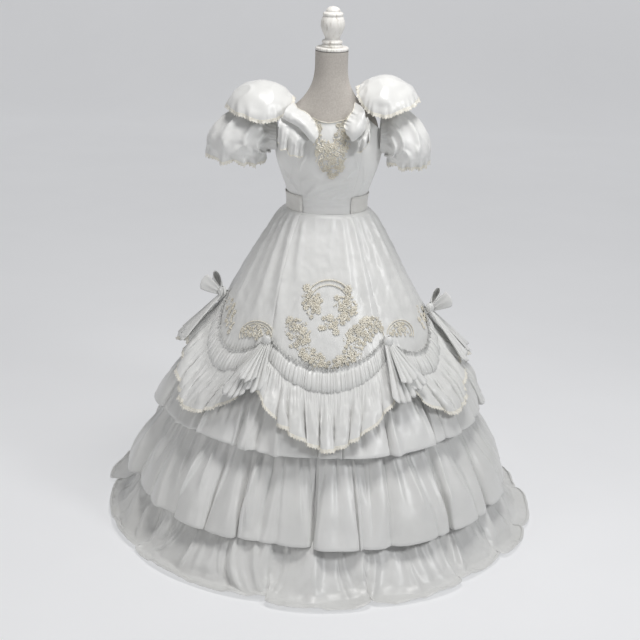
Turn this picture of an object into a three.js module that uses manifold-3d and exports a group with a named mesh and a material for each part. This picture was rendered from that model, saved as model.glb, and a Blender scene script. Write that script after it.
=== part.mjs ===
// A tiered wedding dress on a limbless dress form.
// Millimetres, +Z up. The front faces -Y and +X is the viewer's right. The origin is on the floor, under the form's pole.
// Angles go round the body from the centre front (0 degrees) towards +X (90) to the centre back (180).
import * as THREE from "three";
import Module from "manifold-3d";

const wasm = await Module();
wasm.setup();

// ---------------------------------------------------------------- driving sizes
const CLOTH = 1.4; // satin with its seam allowances
const LACE = 1.0; // lace motifs and edging
const SEAM = 0.3; // gap between neighbouring pieces
const WAIST_Z = 1032; // middle of the belt
const BELT_HALF = 26; // half the belt's height
const BELT_FRONT = 37; // the belts stop at the princess seams, this far from the centre front
const BAND_WIDTH = 54; // ruched heading along each swag
const EDGING = 13; // width of the lace edging

// The dress form, one row a section: half width and reach to the front and back of the axis.
const FORM = [
  { z: 862, side: 148, front: 102, back: 110 },
  { z: 930, side: 138, front: 97, back: 103 },
  { z: 1000, side: 118, front: 89, back: 89 },
  { z: 1032, side: 115, front: 87, back: 86 },
  { z: 1070, side: 122, front: 94, back: 89 },
  { z: 1115, side: 138, front: 108, back: 95 },
  { z: 1165, side: 153, front: 123, back: 101 },
  { z: 1205, side: 157, front: 125, back: 104 },
  { z: 1250, side: 150, front: 112, back: 102 },
  { z: 1285, side: 140, front: 96, back: 96 },
  { z: 1308, side: 122, front: 84, back: 88 },
  { z: 1330, side: 95, front: 75, back: 80 },
  { z: 1354, side: 75, front: 68, back: 72 },
  { z: 1386, side: 58, front: 60, back: 62 },
  { z: 1422, side: 50.5, front: 53, back: 53 },
  { z: 1487, side: 49.5, front: 50, back: 50 },
];
// The skirt's carrying cone, one row a section, in the same columns.
const SKIRT = [
  { z: 1003, side: 126, front: 97, back: 97 },
  { z: 960, side: 150, front: 118, back: 126 },
  { z: 900, side: 184, front: 150, back: 168 },
  { z: 780, side: 250, front: 214, back: 250 },
  { z: 680, side: 306, front: 270, back: 316 },
  { z: 600, side: 350, front: 314, back: 368 },
  { z: 500, side: 400, front: 362, back: 428 },
  { z: 400, side: 442, front: 404, back: 486 },
  { z: 300, side: 480, front: 446, back: 542 },
  { z: 200, side: 518, front: 490, back: 596 },
  { z: 100, side: 550, front: 534, back: 646 },
  { z: 0, side: 576, front: 570, back: 690 },
];
// Where the overskirt is caught up with a bow: angle, height, whether the bow has loops, and how far its tails lean.
const BOWS = [
  { name: "front_left", at: -28, z: 668, loops: false, lean: -14 },
  { name: "front_right", at: 34, z: 670, loops: false, lean: 10 },
  { name: "side_right", at: 80, z: 705, loops: true, lean: 0 },
  { name: "back", at: 180, z: 690, loops: true, lean: 0 },
  { name: "side_left", at: 280, z: 735, loops: true, lean: 0 },
];
// One swag a row: the bows it hangs between, the angles of its gore's seams at the waist, its dip, its flounce's length and flutes.
const SWAGS = [
  { name: "front", from: -28, to: 34, zFrom: 668, zTo: 670, waistFrom: -37, waistTo: 37, dip: 74, end: 66, mid: 128, flutes: 5 },
  { name: "right", from: 34, to: 80, zFrom: 670, zTo: 705, waistFrom: 37, waistTo: 92, dip: 84, end: 72, mid: 98, flutes: 4 },
  { name: "back_right", from: 80, to: 180, zFrom: 705, zTo: 690, waistFrom: 92, waistTo: 180, dip: 96, end: 74, mid: 106, flutes: 7 },
  { name: "back_left", from: 180, to: 280, zFrom: 690, zTo: 735, waistFrom: 180, waistTo: 268, dip: 100, end: 74, mid: 106, flutes: 7 },
  { name: "left", from: 280, to: 332, zFrom: 735, zTo: 668, waistFrom: 268, waistTo: 323, dip: 94, end: 84, mid: 106, flutes: 4 },
];
// The full flounces: height of the seam and of the hem, how far the hem stands off the cone, and its flutes.
const TIERS = [
  { name: "tier_upper", top: 596, hem: 376, flare: 38, flutes: 17, deep: 38, salt: 1 },
  { name: "tier_middle", top: 404, hem: 130, flare: 26, flutes: 18, deep: 42, salt: 2 },
];
// The floor flounce, from its seam out over the floor: height, and how far it stands off the cone at that height.
const FLOOR_TIER = [
  { z: 190, out: 5, deep: 0 },
  { z: 118, out: 13, deep: 10 },
  { z: 46, out: 56, deep: 44 },
  { z: 10, out: 92, deep: 46 },
  { z: 1.6, out: 114, deep: 30 },
];
// The angles of the dips between the lobes that it spreads in.
const FLOOR_DIPS = [-95, -55, -12, 14, 40, 58, 75, 97, 120, 142, 163, 185, 207, 228, 247, 265];
// The sleeve's sections from the armhole to the frilled hem: centre (x from the armhole), tilt of the axis below the level, and radii.
const SLEEVE = [
  { x: 0, z: 1236, tilt: 2, deep: 62, tall: 52 },
  { x: 27, z: 1250, tilt: 14, deep: 90, tall: 70 },
  { x: 62, z: 1236, tilt: 42, deep: 106, tall: 76 },
  { x: 86, z: 1212, tilt: 68, deep: 108, tall: 84 },
  { x: 94, z: 1186, tilt: 80, deep: 104, tall: 82 },
  { x: 96, z: 1164, tilt: 84, deep: 92, tall: 72 },
];
// The shoulder flounce puffs over the sleeve head as a dome: height of its edge, depth, rise, and how far the edge drops front and back.
const PUFF = { z: 1316, deep: 112, tall: 82, drop: 12 };
// The dress sits unevenly on the form: armhole, spread of the sleeve, and the dome's middle, half width, lift and cut at the neck and at the arm.
const SIDES = [
  { name: "left", sign: -1, arm: 170, spread: 1.15, puff: 207, wide: 104, lift: -9, neck: 26, outer: 14 },
  { name: "right", sign: 1, arm: 166, spread: 0.82, puff: 168, wide: 100, lift: 18, neck: 36, outer: 20 },
];
// The neck ruffles, rows of points from the edge at the neck over the roll to the hanging edge.
const RUFFLES = {
  left: [
    [[-111, -56, 1338], [-95, -84, 1327], [-70, -102, 1317], [-49, -118, 1300], [-35, -130, 1277], [-31, -135, 1260]],
    [[-129, -106, 1330], [-108, -126, 1319], [-83, -140, 1306], [-63, -150, 1288], [-45, -154, 1268], [-36, -150, 1254]],
    [[-144, -120, 1306], [-124, -127, 1299], [-104, -132, 1290], [-85, -138, 1278], [-66, -143, 1262], [-52, -143, 1247]],
    [[-150, -130, 1268], [-135, -138, 1264], [-120, -145, 1255], [-103, -150, 1246], [-86, -152, 1239], [-72, -149, 1235]],
    [[-152, -126, 1227], [-139, -138, 1219], [-124, -147, 1213], [-107, -151, 1202], [-90, -153, 1199], [-75, -149, 1196]],
  ],
  right: [
    [[76, -60, 1346], [70, -88, 1327], [60, -106, 1315], [51, -121, 1301], [45, -131, 1286], [48, -135, 1270]],
    [[98, -108, 1338], [93, -125, 1321], [86, -138, 1307], [76, -148, 1293], [65, -152, 1277], [58, -148, 1263]],
    [[111, -119, 1316], [112, -126, 1301], [108, -132, 1287], [100, -138, 1273], [88, -142, 1262], [74, -142, 1256]],
    [[120, -126, 1290], [118, -133, 1275], [114, -140, 1265], [108, -145, 1253], [98, -146, 1244], [87, -143, 1237]],
    [[122, -124, 1261], [120, -133, 1250], [115, -140, 1240], [106, -145, 1229], [96, -146, 1220], [86, -143, 1213]],
  ],
};
// Lace motifs on the overskirt: angle and height of the middle, half width in degrees, half height, and how far the middle arches up.
const MOTIFS = [
  { name: "skirt_lace_crown", at: 4, z: 755, halfAngle: 13, halfHeight: 66, arch: 30 },
  { name: "skirt_lace_garland", at: 2, z: 664, halfAngle: 26, halfHeight: 24, arch: -52 },
  { name: "skirt_lace_left", at: -43, z: 684, halfAngle: 11.5, halfHeight: 22, arch: 12 },
  { name: "skirt_lace_right", at: 47, z: 676, halfAngle: 10, halfHeight: 22, arch: 12 },
];

const FORM_LINEN = new THREE.MeshStandardMaterial({ color: 0xb9b1a6, roughness: 0.9, metalness: 0 });
const FORM_WOOD = new THREE.MeshStandardMaterial({ color: 0xd8d4cc, roughness: 0.6, metalness: 0 });
const STEEL = new THREE.MeshStandardMaterial({ color: 0xc8c8c8, roughness: 0.35, metalness: 0.9 });
const SATIN = new THREE.MeshStandardMaterial({ color: 0xf1f1ee, roughness: 0.45, metalness: 0 });
const IVORY_LACE = new THREE.MeshStandardMaterial({ color: 0xe4dcc4, roughness: 0.8, metalness: 0 });

// ---------------------------------------------------------------- small helpers
const rad = (d) => (d * Math.PI) / 180;
const lerp = (a, b, t) => a + (b - a) * t;
const uneven = (k, salt) => {
  const s = Math.sin(k * 12.9898 + salt * 78.233) * 43758.5453;
  return s - Math.floor(s);
};
// Positions of n steps from a to b.
const steps = (a, b, n) => Array.from({ length: n + 1 }, (_, i) => lerp(a, b, i / n));

// A table's columns at height z, on a smooth curve through its rows. Rows go up or down in z.
function section(table, z) {
  const rows = table[0].z < table[table.length - 1].z ? table : [...table].reverse();
  let k = 0;
  while (k < rows.length - 2 && z > rows[k + 1].z) k++;
  const a = rows[k], b = rows[k + 1], h = b.z - a.z, t = Math.min(1, Math.max(0, (z - a.z) / h));
  const before = rows[Math.max(0, k - 1)], after = rows[Math.min(rows.length - 1, k + 2)];
  const out = { z };
  for (const c of Object.keys(a)) {
    if (c === "z") continue;
    const ma = ((b[c] - before[c]) / (b.z - before.z)) * h, mb = ((after[c] - a[c]) / (after.z - a.z)) * h;
    const t2 = t * t, t3 = t2 * t;
    out[c] = (2 * t3 - 3 * t2 + 1) * a[c] + (t3 - 2 * t2 + t) * ma + (-2 * t3 + 3 * t2) * b[c] + (t3 - t2) * mb;
  }
  return out;
}

// A point of an oval section at an angle, moved out of it by so much.
function around(row, deg, out = 0) {
  const s = Math.sin(rad(deg)), c = Math.cos(rad(deg)), reach = c >= 0 ? row.front : row.back;
  const nx = s / row.side, ny = -c / reach, l = Math.hypot(nx, ny);
  return new THREE.Vector3(row.side * s + (out * nx) / l, -reach * c + (out * ny) / l, row.z);
}
// The level direction into the body at an angle: pieces that meet at a seam share it, so their walls stay parallel there.
const inward = (row, deg) => around(row, deg, 0).sub(around(row, deg, 1));
const onSkirt = (deg, z, out) => around(section(SKIRT, z), deg, out);
const onForm = (deg, z, out) => around(section(FORM, z), deg, out);

// Indexed faces and points to a geometry whose faces point out.
function closed(points, faces) {
  let volume = 0;
  for (const [a, b, c] of faces) volume += points[a].dot(new THREE.Vector3().crossVectors(points[b], points[c]));
  const g = new THREE.BufferGeometry();
  g.setAttribute("position", new THREE.Float32BufferAttribute(points.flatMap((p) => [p.x, p.y, p.z]), 3));
  g.setIndex((volume < 0 ? faces.map(([a, b, c]) => [a, c, b]) : faces).flat());
  return g;
}

// A wall of cloth: the face that shows is a grid of points, grid[i][j], and the wall is made behind it, along the grid's normals.
// ring closes the grid in i. cap closes the first row with a flat crown. rows keeps only those rows of the grid.
// seams gives the directions behind the first and last column, which are also drawn back by half the seam gap.
function cloth(grid, { ring = false, wall = CLOTH, seams = null, cap = false, rows = [0, grid[0].length - 1], behind = 1 } = {}) {
  const ni = grid.length, nj = grid[0].length, nr = rows[1] - rows[0] + 1;
  const at = (i, j) => grid[ring ? (i + ni) % ni : Math.min(ni - 1, Math.max(0, i))][Math.min(nj - 1, Math.max(0, j))];
  const points = [], id = (i, r, back) => ((ring ? (i + ni) % ni : i) * nr + r) * 2 + back;
  for (let i = 0; i < ni; i++)
    for (let r = 0; r < nr; r++) {
      const j = rows[0] + r, p = at(i, j).clone(), first = seams && i === 0, last = seams && i === ni - 1;
      if (first) p.add(at(1, j).clone().sub(p).setLength(SEAM / 2));
      if (last) p.add(at(ni - 2, j).clone().sub(p).setLength(SEAM / 2));
      let n = at(i + 1, j).clone().sub(at(i - 1, j)).cross(at(i, j + 1).clone().sub(at(i, j - 1))).multiplyScalar(behind);
      if (first) n = seams[0].clone();
      if (last) n = seams[1].clone();
      points.push(p, p.clone().add(n.setLength(wall)));
    }
  const faces = [], quad = (a, b, c, d) => faces.push([a, b, c], [a, c, d]);
  if (cap) for (let i = 1; i < ni - 1; i++) faces.push([id(0, 0, 0), id(i + 1, 0, 0), id(i, 0, 0)], [id(0, 0, 1), id(i, 0, 1), id(i + 1, 0, 1)]);
  for (let i = 0; i < (ring ? ni : ni - 1); i++) {
    for (let r = 0; r < nr - 1; r++) {
      quad(id(i, r, 0), id(i + 1, r, 0), id(i + 1, r + 1, 0), id(i, r + 1, 0));
      quad(id(i, r, 1), id(i, r + 1, 1), id(i + 1, r + 1, 1), id(i + 1, r, 1));
    }
    if (!cap) quad(id(i, 0, 0), id(i, 0, 1), id(i + 1, 0, 1), id(i + 1, 0, 0));
    quad(id(i, nr - 1, 0), id(i + 1, nr - 1, 0), id(i + 1, nr - 1, 1), id(i, nr - 1, 1));
  }
  if (!ring)
    for (let r = 0; r < nr - 1; r++) {
      quad(id(0, r, 0), id(0, r + 1, 0), id(0, r + 1, 1), id(0, r, 1));
      quad(id(ni - 1, r, 0), id(ni - 1, r, 1), id(ni - 1, r + 1, 1), id(ni - 1, r + 1, 0));
    }
  return closed(points, faces);
}

// A closed solid through rings of points, capped flat at both ends.
function loft(rings) {
  const n = rings[0].length, points = rings.flat(), faces = [];
  for (let k = 0; k < rings.length - 1; k++)
    for (let i = 0; i < n; i++) {
      const a = k * n + i, b = k * n + ((i + 1) % n), c = a + n, d = b + n;
      faces.push([a, b, d], [a, d, c]);
    }
  const last = (rings.length - 1) * n;
  for (let i = 1; i < n - 1; i++) faces.push([0, i + 1, i], [last, last + i, last + i + 1]);
  return closed(points, faces);
}

function solid(geometry) {
  const p = geometry.getAttribute("position").array;
  return new wasm.Manifold(new wasm.Mesh({ numProp: 3, vertProperties: new Float32Array(p), triVerts: new Uint32Array(geometry.index.array) }));
}
function joined(geometries) {
  const m = geometries.map(solid).reduce((a, b) => a.add(b)).getMesh();
  const g = new THREE.BufferGeometry();
  g.setAttribute("position", new THREE.BufferAttribute(new Float32Array(m.vertProperties), 3));
  g.setIndex(new THREE.BufferAttribute(new Uint32Array(m.triVerts), 1));
  return g;
}

const dress = new THREE.Group(), form = new THREE.Group(), model = new THREE.Group();
model.add(form, dress);
function piece(group, name, geometry, material) {
  const mesh = new THREE.Mesh(geometry, material);
  mesh.name = name;
  group.add(mesh);
  return mesh;
}

// Dips of a fluted hem, unevenly spaced.
function dipsBetween(count, from, to, salt) {
  const widths = Array.from({ length: count }, (_, k) => 0.7 + 0.6 * uneven(k, salt));
  const total = widths.reduce((a, b) => a + b, 0), dips = [from];
  for (const w of widths) dips.push(dips[dips.length - 1] + ((to - from) * w) / total);
  return dips;
}
// Stations round a fluted hem, from its dips: each flute has a ridge. deep is up to 1 on a ridge and 0 in a dip.
function flutes(dips, salt, perFlute = 3) {
  const list = [];
  for (let k = 0; k < dips.length - 1; k++) {
    const tall = 0.6 + 0.4 * uneven(k, salt + 9);
    const shape = perFlute === 3 ? [[0, 0], [0.32, 1], [0.68, 0.86]] : [[0, 0], [0.5, 1]];
    for (const [t, d] of shape) list.push({ at: lerp(dips[k], dips[k + 1], t), deep: d * tall });
  }
  return list;
}

// ---------------------------------------------------------------- the dress form
const FORM_SIDES = 20;
piece(form, "form_torso", loft(FORM.map((row) => Array.from({ length: FORM_SIDES }, (_, i) => around(row, (360 * i) / FORM_SIDES)))), FORM_LINEN);

const turned = (profile, sides) => {
  const g = new THREE.LatheGeometry(profile.map(([r, z]) => new THREE.Vector2(r, z)), sides);
  g.rotateX(Math.PI / 2);
  return g;
};
const CAP_Z = 1487 + SEAM;
piece(form, "form_neck_cap", turned([[0, CAP_Z], [48, CAP_Z], [50, CAP_Z + 3], [50, CAP_Z + 8], [48, CAP_Z + 10], [0, CAP_Z + 10]], 16), FORM_WOOD);
const KNOB_Z = CAP_Z + 10 + SEAM;
// The turned knob: radius at each height above the cap.
const KNOB = [
  { r: 31, h: 0 }, { r: 31, h: 7 }, { r: 27, h: 10 }, { r: 31, h: 14 }, { r: 29, h: 19 }, { r: 22, h: 24 }, { r: 25, h: 32 },
  { r: 33, h: 50 }, { r: 36, h: 66 }, { r: 34, h: 80 }, { r: 29, h: 90 }, { r: 30, h: 94 }, { r: 29, h: 99 }, { r: 22, h: 102 },
  { r: 21, h: 108 }, { r: 15, h: 114 }, { r: 7, h: 117.5 },
];
piece(form, "form_knob", turned([[0, KNOB_Z], ...KNOB.map((k) => [k.r, KNOB_Z + k.h]), [0, KNOB_Z + 118]], 12), FORM_WOOD);
const POLE_R = 14, BASE_R = 165, BASE_T = 14;
piece(form, "form_pole", turned([[0, BASE_T + SEAM], [POLE_R, BASE_T + SEAM], [POLE_R, 862 - SEAM], [0, 862 - SEAM]], 12), STEEL);
piece(form, "form_base", turned([[0, 0], [BASE_R, 0], [BASE_R, 6], [BASE_R - 12, BASE_T - 2], [40, BASE_T], [0, BASE_T]], 16), STEEL);

// ---------------------------------------------------------------- skirt
// The carrying skirt that every flounce is sewn to.
const CONE_STEPS = 30;
piece(dress, "underskirt", cloth(Array.from({ length: CONE_STEPS }, (_, i) => [1002, 900, 690, 404, 96].map((z) => onSkirt((360 * i) / CONE_STEPS, z, 0))), { ring: true }), SATIN);

for (const tier of TIERS) {
  const stations = flutes(dipsBetween(tier.flutes, 0, 360, tier.salt), tier.salt);
  const grid = stations.map(({ at, deep }) => [0, 1].map((t) => onSkirt(at, lerp(tier.top, tier.hem, t) + 10 * t * (deep - 0.5), 5 + tier.flare * t + tier.deep * deep * t)));
  piece(dress, tier.name, cloth(grid, { ring: true }), SATIN);
}

// The lowest flounce spreads over the floor in lobes.
{
  const stations = flutes(FLOOR_DIPS, 3);
  const grid = stations.map(({ at, deep }) => FLOOR_TIER.map((row) => onSkirt(at, row.z, row.out + row.deep * (deep - 0.35))));
  piece(dress, "tier_floor", cloth(grid, { ring: true }), SATIN);
}

// The overskirt: its hem is caught up at the bows and hangs in a swag between them.
const OVER = 9;
const swagZ = (s, u) => lerp(s.zFrom, s.zTo, u) - s.dip * Math.pow(Math.max(0, Math.sin(Math.PI * u)), 0.8);
const bandZ = (s, u) => swagZ(s, u) - BAND_WIDTH * (0.72 + 0.28 * Math.sin(Math.PI * u));
const flounceZ = (s, u) => bandZ(s, u) - lerp(s.end, s.mid, Math.pow(Math.max(0, Math.sin(Math.PI * u)), 1.2));
const swagAngle = (s, u, down) => lerp(lerp(s.waistFrom, s.waistTo, u), lerp(s.from, s.to, u), down);
const pleat = (u) => 5 * Math.pow(Math.abs(Math.cos(Math.PI * 3 * u)), 2); // soft pleats let into the waist
const pinch = (u) => Math.min(1, 5 * u, 5 * (1 - u)); // the swags are drawn flat where the bows catch them
function overPoint(s, u, z, lift = 0) {
  const down = (1002 - z) / (1002 - swagZ(s, u));
  return onSkirt(swagAngle(s, u, down), z, OVER + 12 * down + pleat(u) * Math.sin(Math.PI * down) + lift);
}
for (const s of SWAGS) {
  const wide = (s.to - s.from) / 60, row = section(SKIRT, 700), seams = [inward(row, s.from), inward(row, s.to)];
  const gore = steps(0, 1, Math.round(6 * wide)).map((u) => steps(0, 1, 4).map((t) => overPoint(s, u, lerp(1001.6, swagZ(s, u), t))));
  piece(dress, "overskirt_" + s.name, cloth(gore, { seams }), SATIN);
  const ruche = steps(0, 1, 2 * Math.round(4 * wide)).map((u, i) =>
    [0, 0.5, 1].map((t) => {
      const relief = (i % 2 ? 5 : 0) + 9 * Math.sin(Math.PI * t) + 4 * t;
      return onSkirt(lerp(s.from, s.to, u), lerp(swagZ(s, u) - 2 * SEAM, bandZ(s, u), t), OVER + 15 + relief * pinch(u) + 8 * t);
    }),
  );
  piece(dress, "swag_band_" + s.name, cloth(ruche, { seams }), SATIN);
  const list = [...flutes(dipsBetween(s.flutes, 0, 1, 20 + s.from), 20 + s.from, s.flutes > 5 ? 2 : 3), { at: 1, deep: 0 }];
  const fall = ({ at: u, deep }, t) => onSkirt(lerp(s.from, s.to, u), lerp(bandZ(s, u) - 2 * SEAM, flounceZ(s, u), t), OVER + 19 + (44 + 24 * deep * pinch(u)) * t);
  // the flounce and the edging under it are one sheet of points, so that their walls agree where they meet
  const sheet = list.map((q) => {
    const long = fall(q, 0).distanceTo(fall(q, 1));
    return [0, 1, 1 + (1.5 * SEAM) / long, 1 + (1.5 * SEAM + EDGING) / long].map((t) => fall(q, t));
  });
  piece(dress, "swag_flounce_" + s.name, cloth(sheet, { seams, rows: [0, 1] }), SATIN);
  piece(dress, "swag_edging_" + s.name, cloth(sheet, { seams, rows: [2, 3], wall: LACE }), IVORY_LACE);
}

// Bows: a pleated fan under a knot, with two loops on those at the sides and back.
const FAN = { halfWidth: 50, length: 150, pleats: 3, deep: 10, stand: 42, lift: 54 };
const KNOT = { wide: 15, tall: 17, deep: 12 };
for (const b of BOWS) {
  const parts = [];
  const fan = steps(-1, 1, FAN.pleats * 2).map((u, i) =>
    [0.02, 1].map((t) => {
      const z = b.z - 4 - FAN.length * t * (1 - 0.16 * u * u), r = section(SKIRT, z).front + FAN.stand;
      const across = FAN.halfWidth * u * lerp(0.16, 1, t) + b.lean * t;
      return onSkirt(b.at + (across / r) * (180 / Math.PI), z, FAN.stand + FAN.lift * t + (i % 2 ? FAN.deep : 0) * lerp(0.4, 1, t));
    }),
  );
  parts.push(cloth(fan));
  const turn = new THREE.Matrix4().makeRotationZ(rad(b.at)).setPosition(onSkirt(b.at, b.z, FAN.stand + 4));
  parts.push(loft(steps(-0.9, 0.9, 3).map((h) => Array.from({ length: 8 }, (_, i) => {
    const w = Math.sqrt(1 - h * h), a = (2 * Math.PI * i) / 8;
    return new THREE.Vector3(KNOT.wide * w * Math.cos(a), KNOT.deep * w * Math.sin(a), KNOT.tall * h).applyMatrix4(turn);
  }))));
  if (b.loops)
    for (const side of [-1, 1]) {
      // a band bent round into a loop that leaves the knot and comes back to it
      const loop = Array.from({ length: 9 }, (_, i) => {
        const a = (2 * Math.PI * i) / 9, far = 0.5 - 0.5 * Math.cos(a);
        return [-1, 1].map((e) => new THREE.Vector3(side * (6 + 78 * far), -3 - 12 * far - 15 * Math.sin(a) * Math.sqrt(far + 0.05), e * (8 + 20 * far) + 16 * far).applyMatrix4(turn));
      });
      parts.push(cloth(loop, { ring: true }));
    }
  piece(dress, "bow_" + b.name, joined(parts), SATIN);
}

// ---------------------------------------------------------------- bodice
const BODICE = 6; // the bodice's outside, off the form
// Height of the bodice's upper edge round the body: scooped at the front, cut away under the arms.
const NECKLINE = [
  { z: 0, edge: 1290 }, { z: 18, edge: 1296 }, { z: 38, edge: 1308 }, { z: 52, edge: 1290 }, { z: 66, edge: 1222 }, { z: 90, edge: 1186 },
  { z: 114, edge: 1208 }, { z: 128, edge: 1266 }, { z: 146, edge: 1286 }, { z: 180, edge: 1276 },
];
const necklineZ = (deg) => section(NECKLINE, Math.abs(((deg + 540) % 360) - 180)).edge;
const BODICE_PANELS = [
  { name: "bodice_front_centre", from: -37, to: 37, steps: 6 },
  { name: "bodice_front_right", from: 37, to: 90, steps: 4 },
  { name: "bodice_back_right", from: 90, to: 180, steps: 6 },
  { name: "bodice_back_left", from: 270, to: 180, steps: 6 },
  { name: "bodice_front_left", from: 323, to: 270, steps: 4 },
];
// Folds pulled across the front panel, rising to the right: height at the centre, and how far they stand out.
const DRAPES = [
  { z: 1046, rise: 16, width: 9, out: 5 },
  { z: 1078, rise: 22, width: 10, out: 5 },
  { z: 1112, rise: 34, width: 12, out: 4 },
];
function bodiceOut(deg, z) {
  const d = ((deg + 540) % 360) - 180;
  if (Math.abs(d) > BELT_FRONT) return BODICE;
  const fade = Math.cos((Math.PI / 2) * (d / BELT_FRONT));
  return BODICE + DRAPES.reduce((sum, f) => sum + f.out * fade * Math.exp(-(((z - f.z - (f.rise * d) / BELT_FRONT) / f.width) ** 2)), 0);
}
// Heights of the bodice's rows: along the belt, then evenly up to the edge.
const bodiceRows = (deg) => [1003.4, WAIST_Z, ...steps(WAIST_Z + BELT_HALF, necklineZ(deg), 5)];
for (const p of BODICE_PANELS) {
  const row = section(FORM, 1100), seams = [inward(row, p.from), inward(row, p.to)];
  const grid = steps(p.from, p.to, p.steps).map((deg) => bodiceRows(deg).map((z) => onForm(deg, z, bodiceOut(deg, z))));
  piece(dress, p.name, cloth(grid, { seams, behind: p.from < p.to ? -1 : 1 }), SATIN);
}
// The belts lie on the bodice from the princess seams round to the centre back.
for (const [name, from, to] of [["belt_right", BELT_FRONT, 180], ["belt_left", 180, 360 - BELT_FRONT]]) {
  const grid = steps(from, to, 12).map((deg) => [-1, 0, 1].map((k) => onForm(deg, WAIST_Z + BELT_HALF * k, BODICE + SEAM + CLOTH + 2.4)));
  const row = section(FORM, WAIST_Z);
  piece(dress, name, cloth(grid, { seams: [inward(row, from), inward(row, to)], behind: -1 }), SATIN);
}

// ---------------------------------------------------------------- sleeves and shoulder flounces
const SLEEVE_STEPS = 16, DOME_STEPS = 16;
const CROWN = 13; // the dome is flat within this angle of its top
for (const side of SIDES) {
  const place = (x, y, z) => new THREE.Vector3(side.sign * x, y, z);
  // The last section is the frill, whose edge is waved.
  const rings = SLEEVE.map((s, k) => {
    const tilt = rad(s.tilt), frill = k === SLEEVE.length - 1 ? 1 : 0;
    return Array.from({ length: SLEEVE_STEPS }, (_, i) => {
      const a = (2 * Math.PI * i) / SLEEVE_STEPS, wave = frill * (i % 2 ? 8 : -6), up = (s.tall + wave) * Math.sin(a);
      return place(side.arm + side.spread * (s.x + up * Math.sin(tilt)), (s.deep + wave) * Math.cos(a), s.z + up * Math.cos(tilt) - frill * 12 * uneven(i, 5));
    });
  });
  const below = (p, from) => {
    const d = p.clone().sub(from).normalize();
    return [p.clone().addScaledVector(d, SEAM), p.clone().addScaledVector(d, SEAM + EDGING)];
  };
  const sleeve = Array.from({ length: SLEEVE_STEPS }, (_, i) => [...rings.map((r) => r[i]), ...below(rings[rings.length - 1][i], rings[rings.length - 2][i])]);
  const hem = SLEEVE.length - 1;
  piece(dress, "sleeve_" + side.name, cloth(sleeve, { ring: true, rows: [0, hem], behind: -side.sign }), SATIN);
  piece(dress, "sleeve_edging_" + side.name, cloth(sleeve, { ring: true, rows: [hem + 1, hem + 2], behind: -side.sign, wall: LACE }), IVORY_LACE);

  // The dome over the sleeve head, from its crown down to the lace edge, which stops short of the form's shoulder at the neck.
  const dome = (a, t) => {
    const neck = Math.pow(Math.max(0, -Math.cos(a)), 3), lat = rad(lerp(CROWN, 90 - side.neck * neck - side.outer * Math.max(0, Math.cos(a)), t));
    const fall = PUFF.drop * t * t * (1 - neck) * (0.5 + 0.5 * Math.abs(Math.sin(a)));
    return place(side.puff + side.wide * Math.sin(lat) * Math.cos(a), PUFF.deep * Math.sin(lat) * Math.sin(a), PUFF.z + side.lift + PUFF.tall * Math.cos(lat) - fall);
  };
  const puff = Array.from({ length: DOME_STEPS }, (_, i) => {
    const a = (2 * Math.PI * i) / DOME_STEPS;
    return [...[0, 0.3, 0.64, 1].map((t) => dome(a, t)), ...below(dome(a, 1), dome(a, 0.64))];
  });
  piece(dress, "shoulder_flounce_" + side.name, cloth(puff, { ring: true, cap: true, rows: [0, 3], behind: -side.sign }), SATIN);
  piece(dress, "shoulder_edging_" + side.name, cloth(puff, { ring: true, rows: [4, 5], behind: -side.sign, wall: LACE }), IVORY_LACE);

  // The neck ruffle runs from the shoulder flounce down towards the front panel.
  const rows = RUFFLES[side.name], ruffle = rows[0].map((_, k) => rows.map((row) => new THREE.Vector3(...row[k])));
  piece(dress, "neck_ruffle_" + side.name, cloth(ruffle, { behind: side.sign }), SATIN);
}

// ---------------------------------------------------------------- lace motifs, made from the panels' points, moved out
const turnFrom = (s, deg) => (deg - s.from + 720) % 360;
for (const m of MOTIFS) {
  const s = SWAGS.find((w) => turnFrom(w, m.at) <= w.to - w.from);
  const grid = steps(-1, 1, 8).map((k) => [-1, 0, 1].map((e) => {
    const u = turnFrom(s, m.at + m.halfAngle * k) / (s.to - s.from);
    return overPoint(s, u, m.z + m.arch * (0.5 - k * k) + e * m.halfHeight * (1 - 0.55 * k * k), SEAM + LACE + 2.6);
  }));
  piece(dress, m.name, cloth(grid, { wall: LACE, behind: -1 }), IVORY_LACE);
}
// The front panel's lace hangs from the neckline to a point.
{
  const grid = steps(-1, 1, 6).map((k) => steps(0, 1, 5).map((t) => {
    const z = lerp(1127 + 10 * Math.abs(k), 1284 + 6 * Math.abs(k), t), deg = k * lerp(4, 22, Math.sqrt(t));
    return onForm(deg, z, bodiceOut(deg, z) + SEAM + LACE + 3.2);
  }));
  piece(dress, "bodice_lace", cloth(grid, { behind: -1, wall: LACE }), IVORY_LACE);
}

export default model;
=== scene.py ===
"""Looks for a tiered wedding dress on a limbless dress form. Sizes are in millimetres until a mesh is made."""
import math
import bpy
import numpy as np
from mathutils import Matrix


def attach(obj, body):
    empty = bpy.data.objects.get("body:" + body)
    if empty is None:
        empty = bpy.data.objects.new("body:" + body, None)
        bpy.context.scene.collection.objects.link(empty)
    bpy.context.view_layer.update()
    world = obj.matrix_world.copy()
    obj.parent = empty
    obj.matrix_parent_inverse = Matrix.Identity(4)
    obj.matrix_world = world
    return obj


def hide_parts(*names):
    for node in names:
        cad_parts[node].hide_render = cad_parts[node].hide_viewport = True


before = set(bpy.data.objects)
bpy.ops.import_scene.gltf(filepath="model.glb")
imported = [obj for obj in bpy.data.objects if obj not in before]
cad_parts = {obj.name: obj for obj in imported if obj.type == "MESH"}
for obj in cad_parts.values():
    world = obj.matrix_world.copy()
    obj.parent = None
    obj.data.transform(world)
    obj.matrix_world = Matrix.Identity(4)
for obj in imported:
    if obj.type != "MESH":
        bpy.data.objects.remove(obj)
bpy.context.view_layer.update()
MM = 0.001

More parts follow.
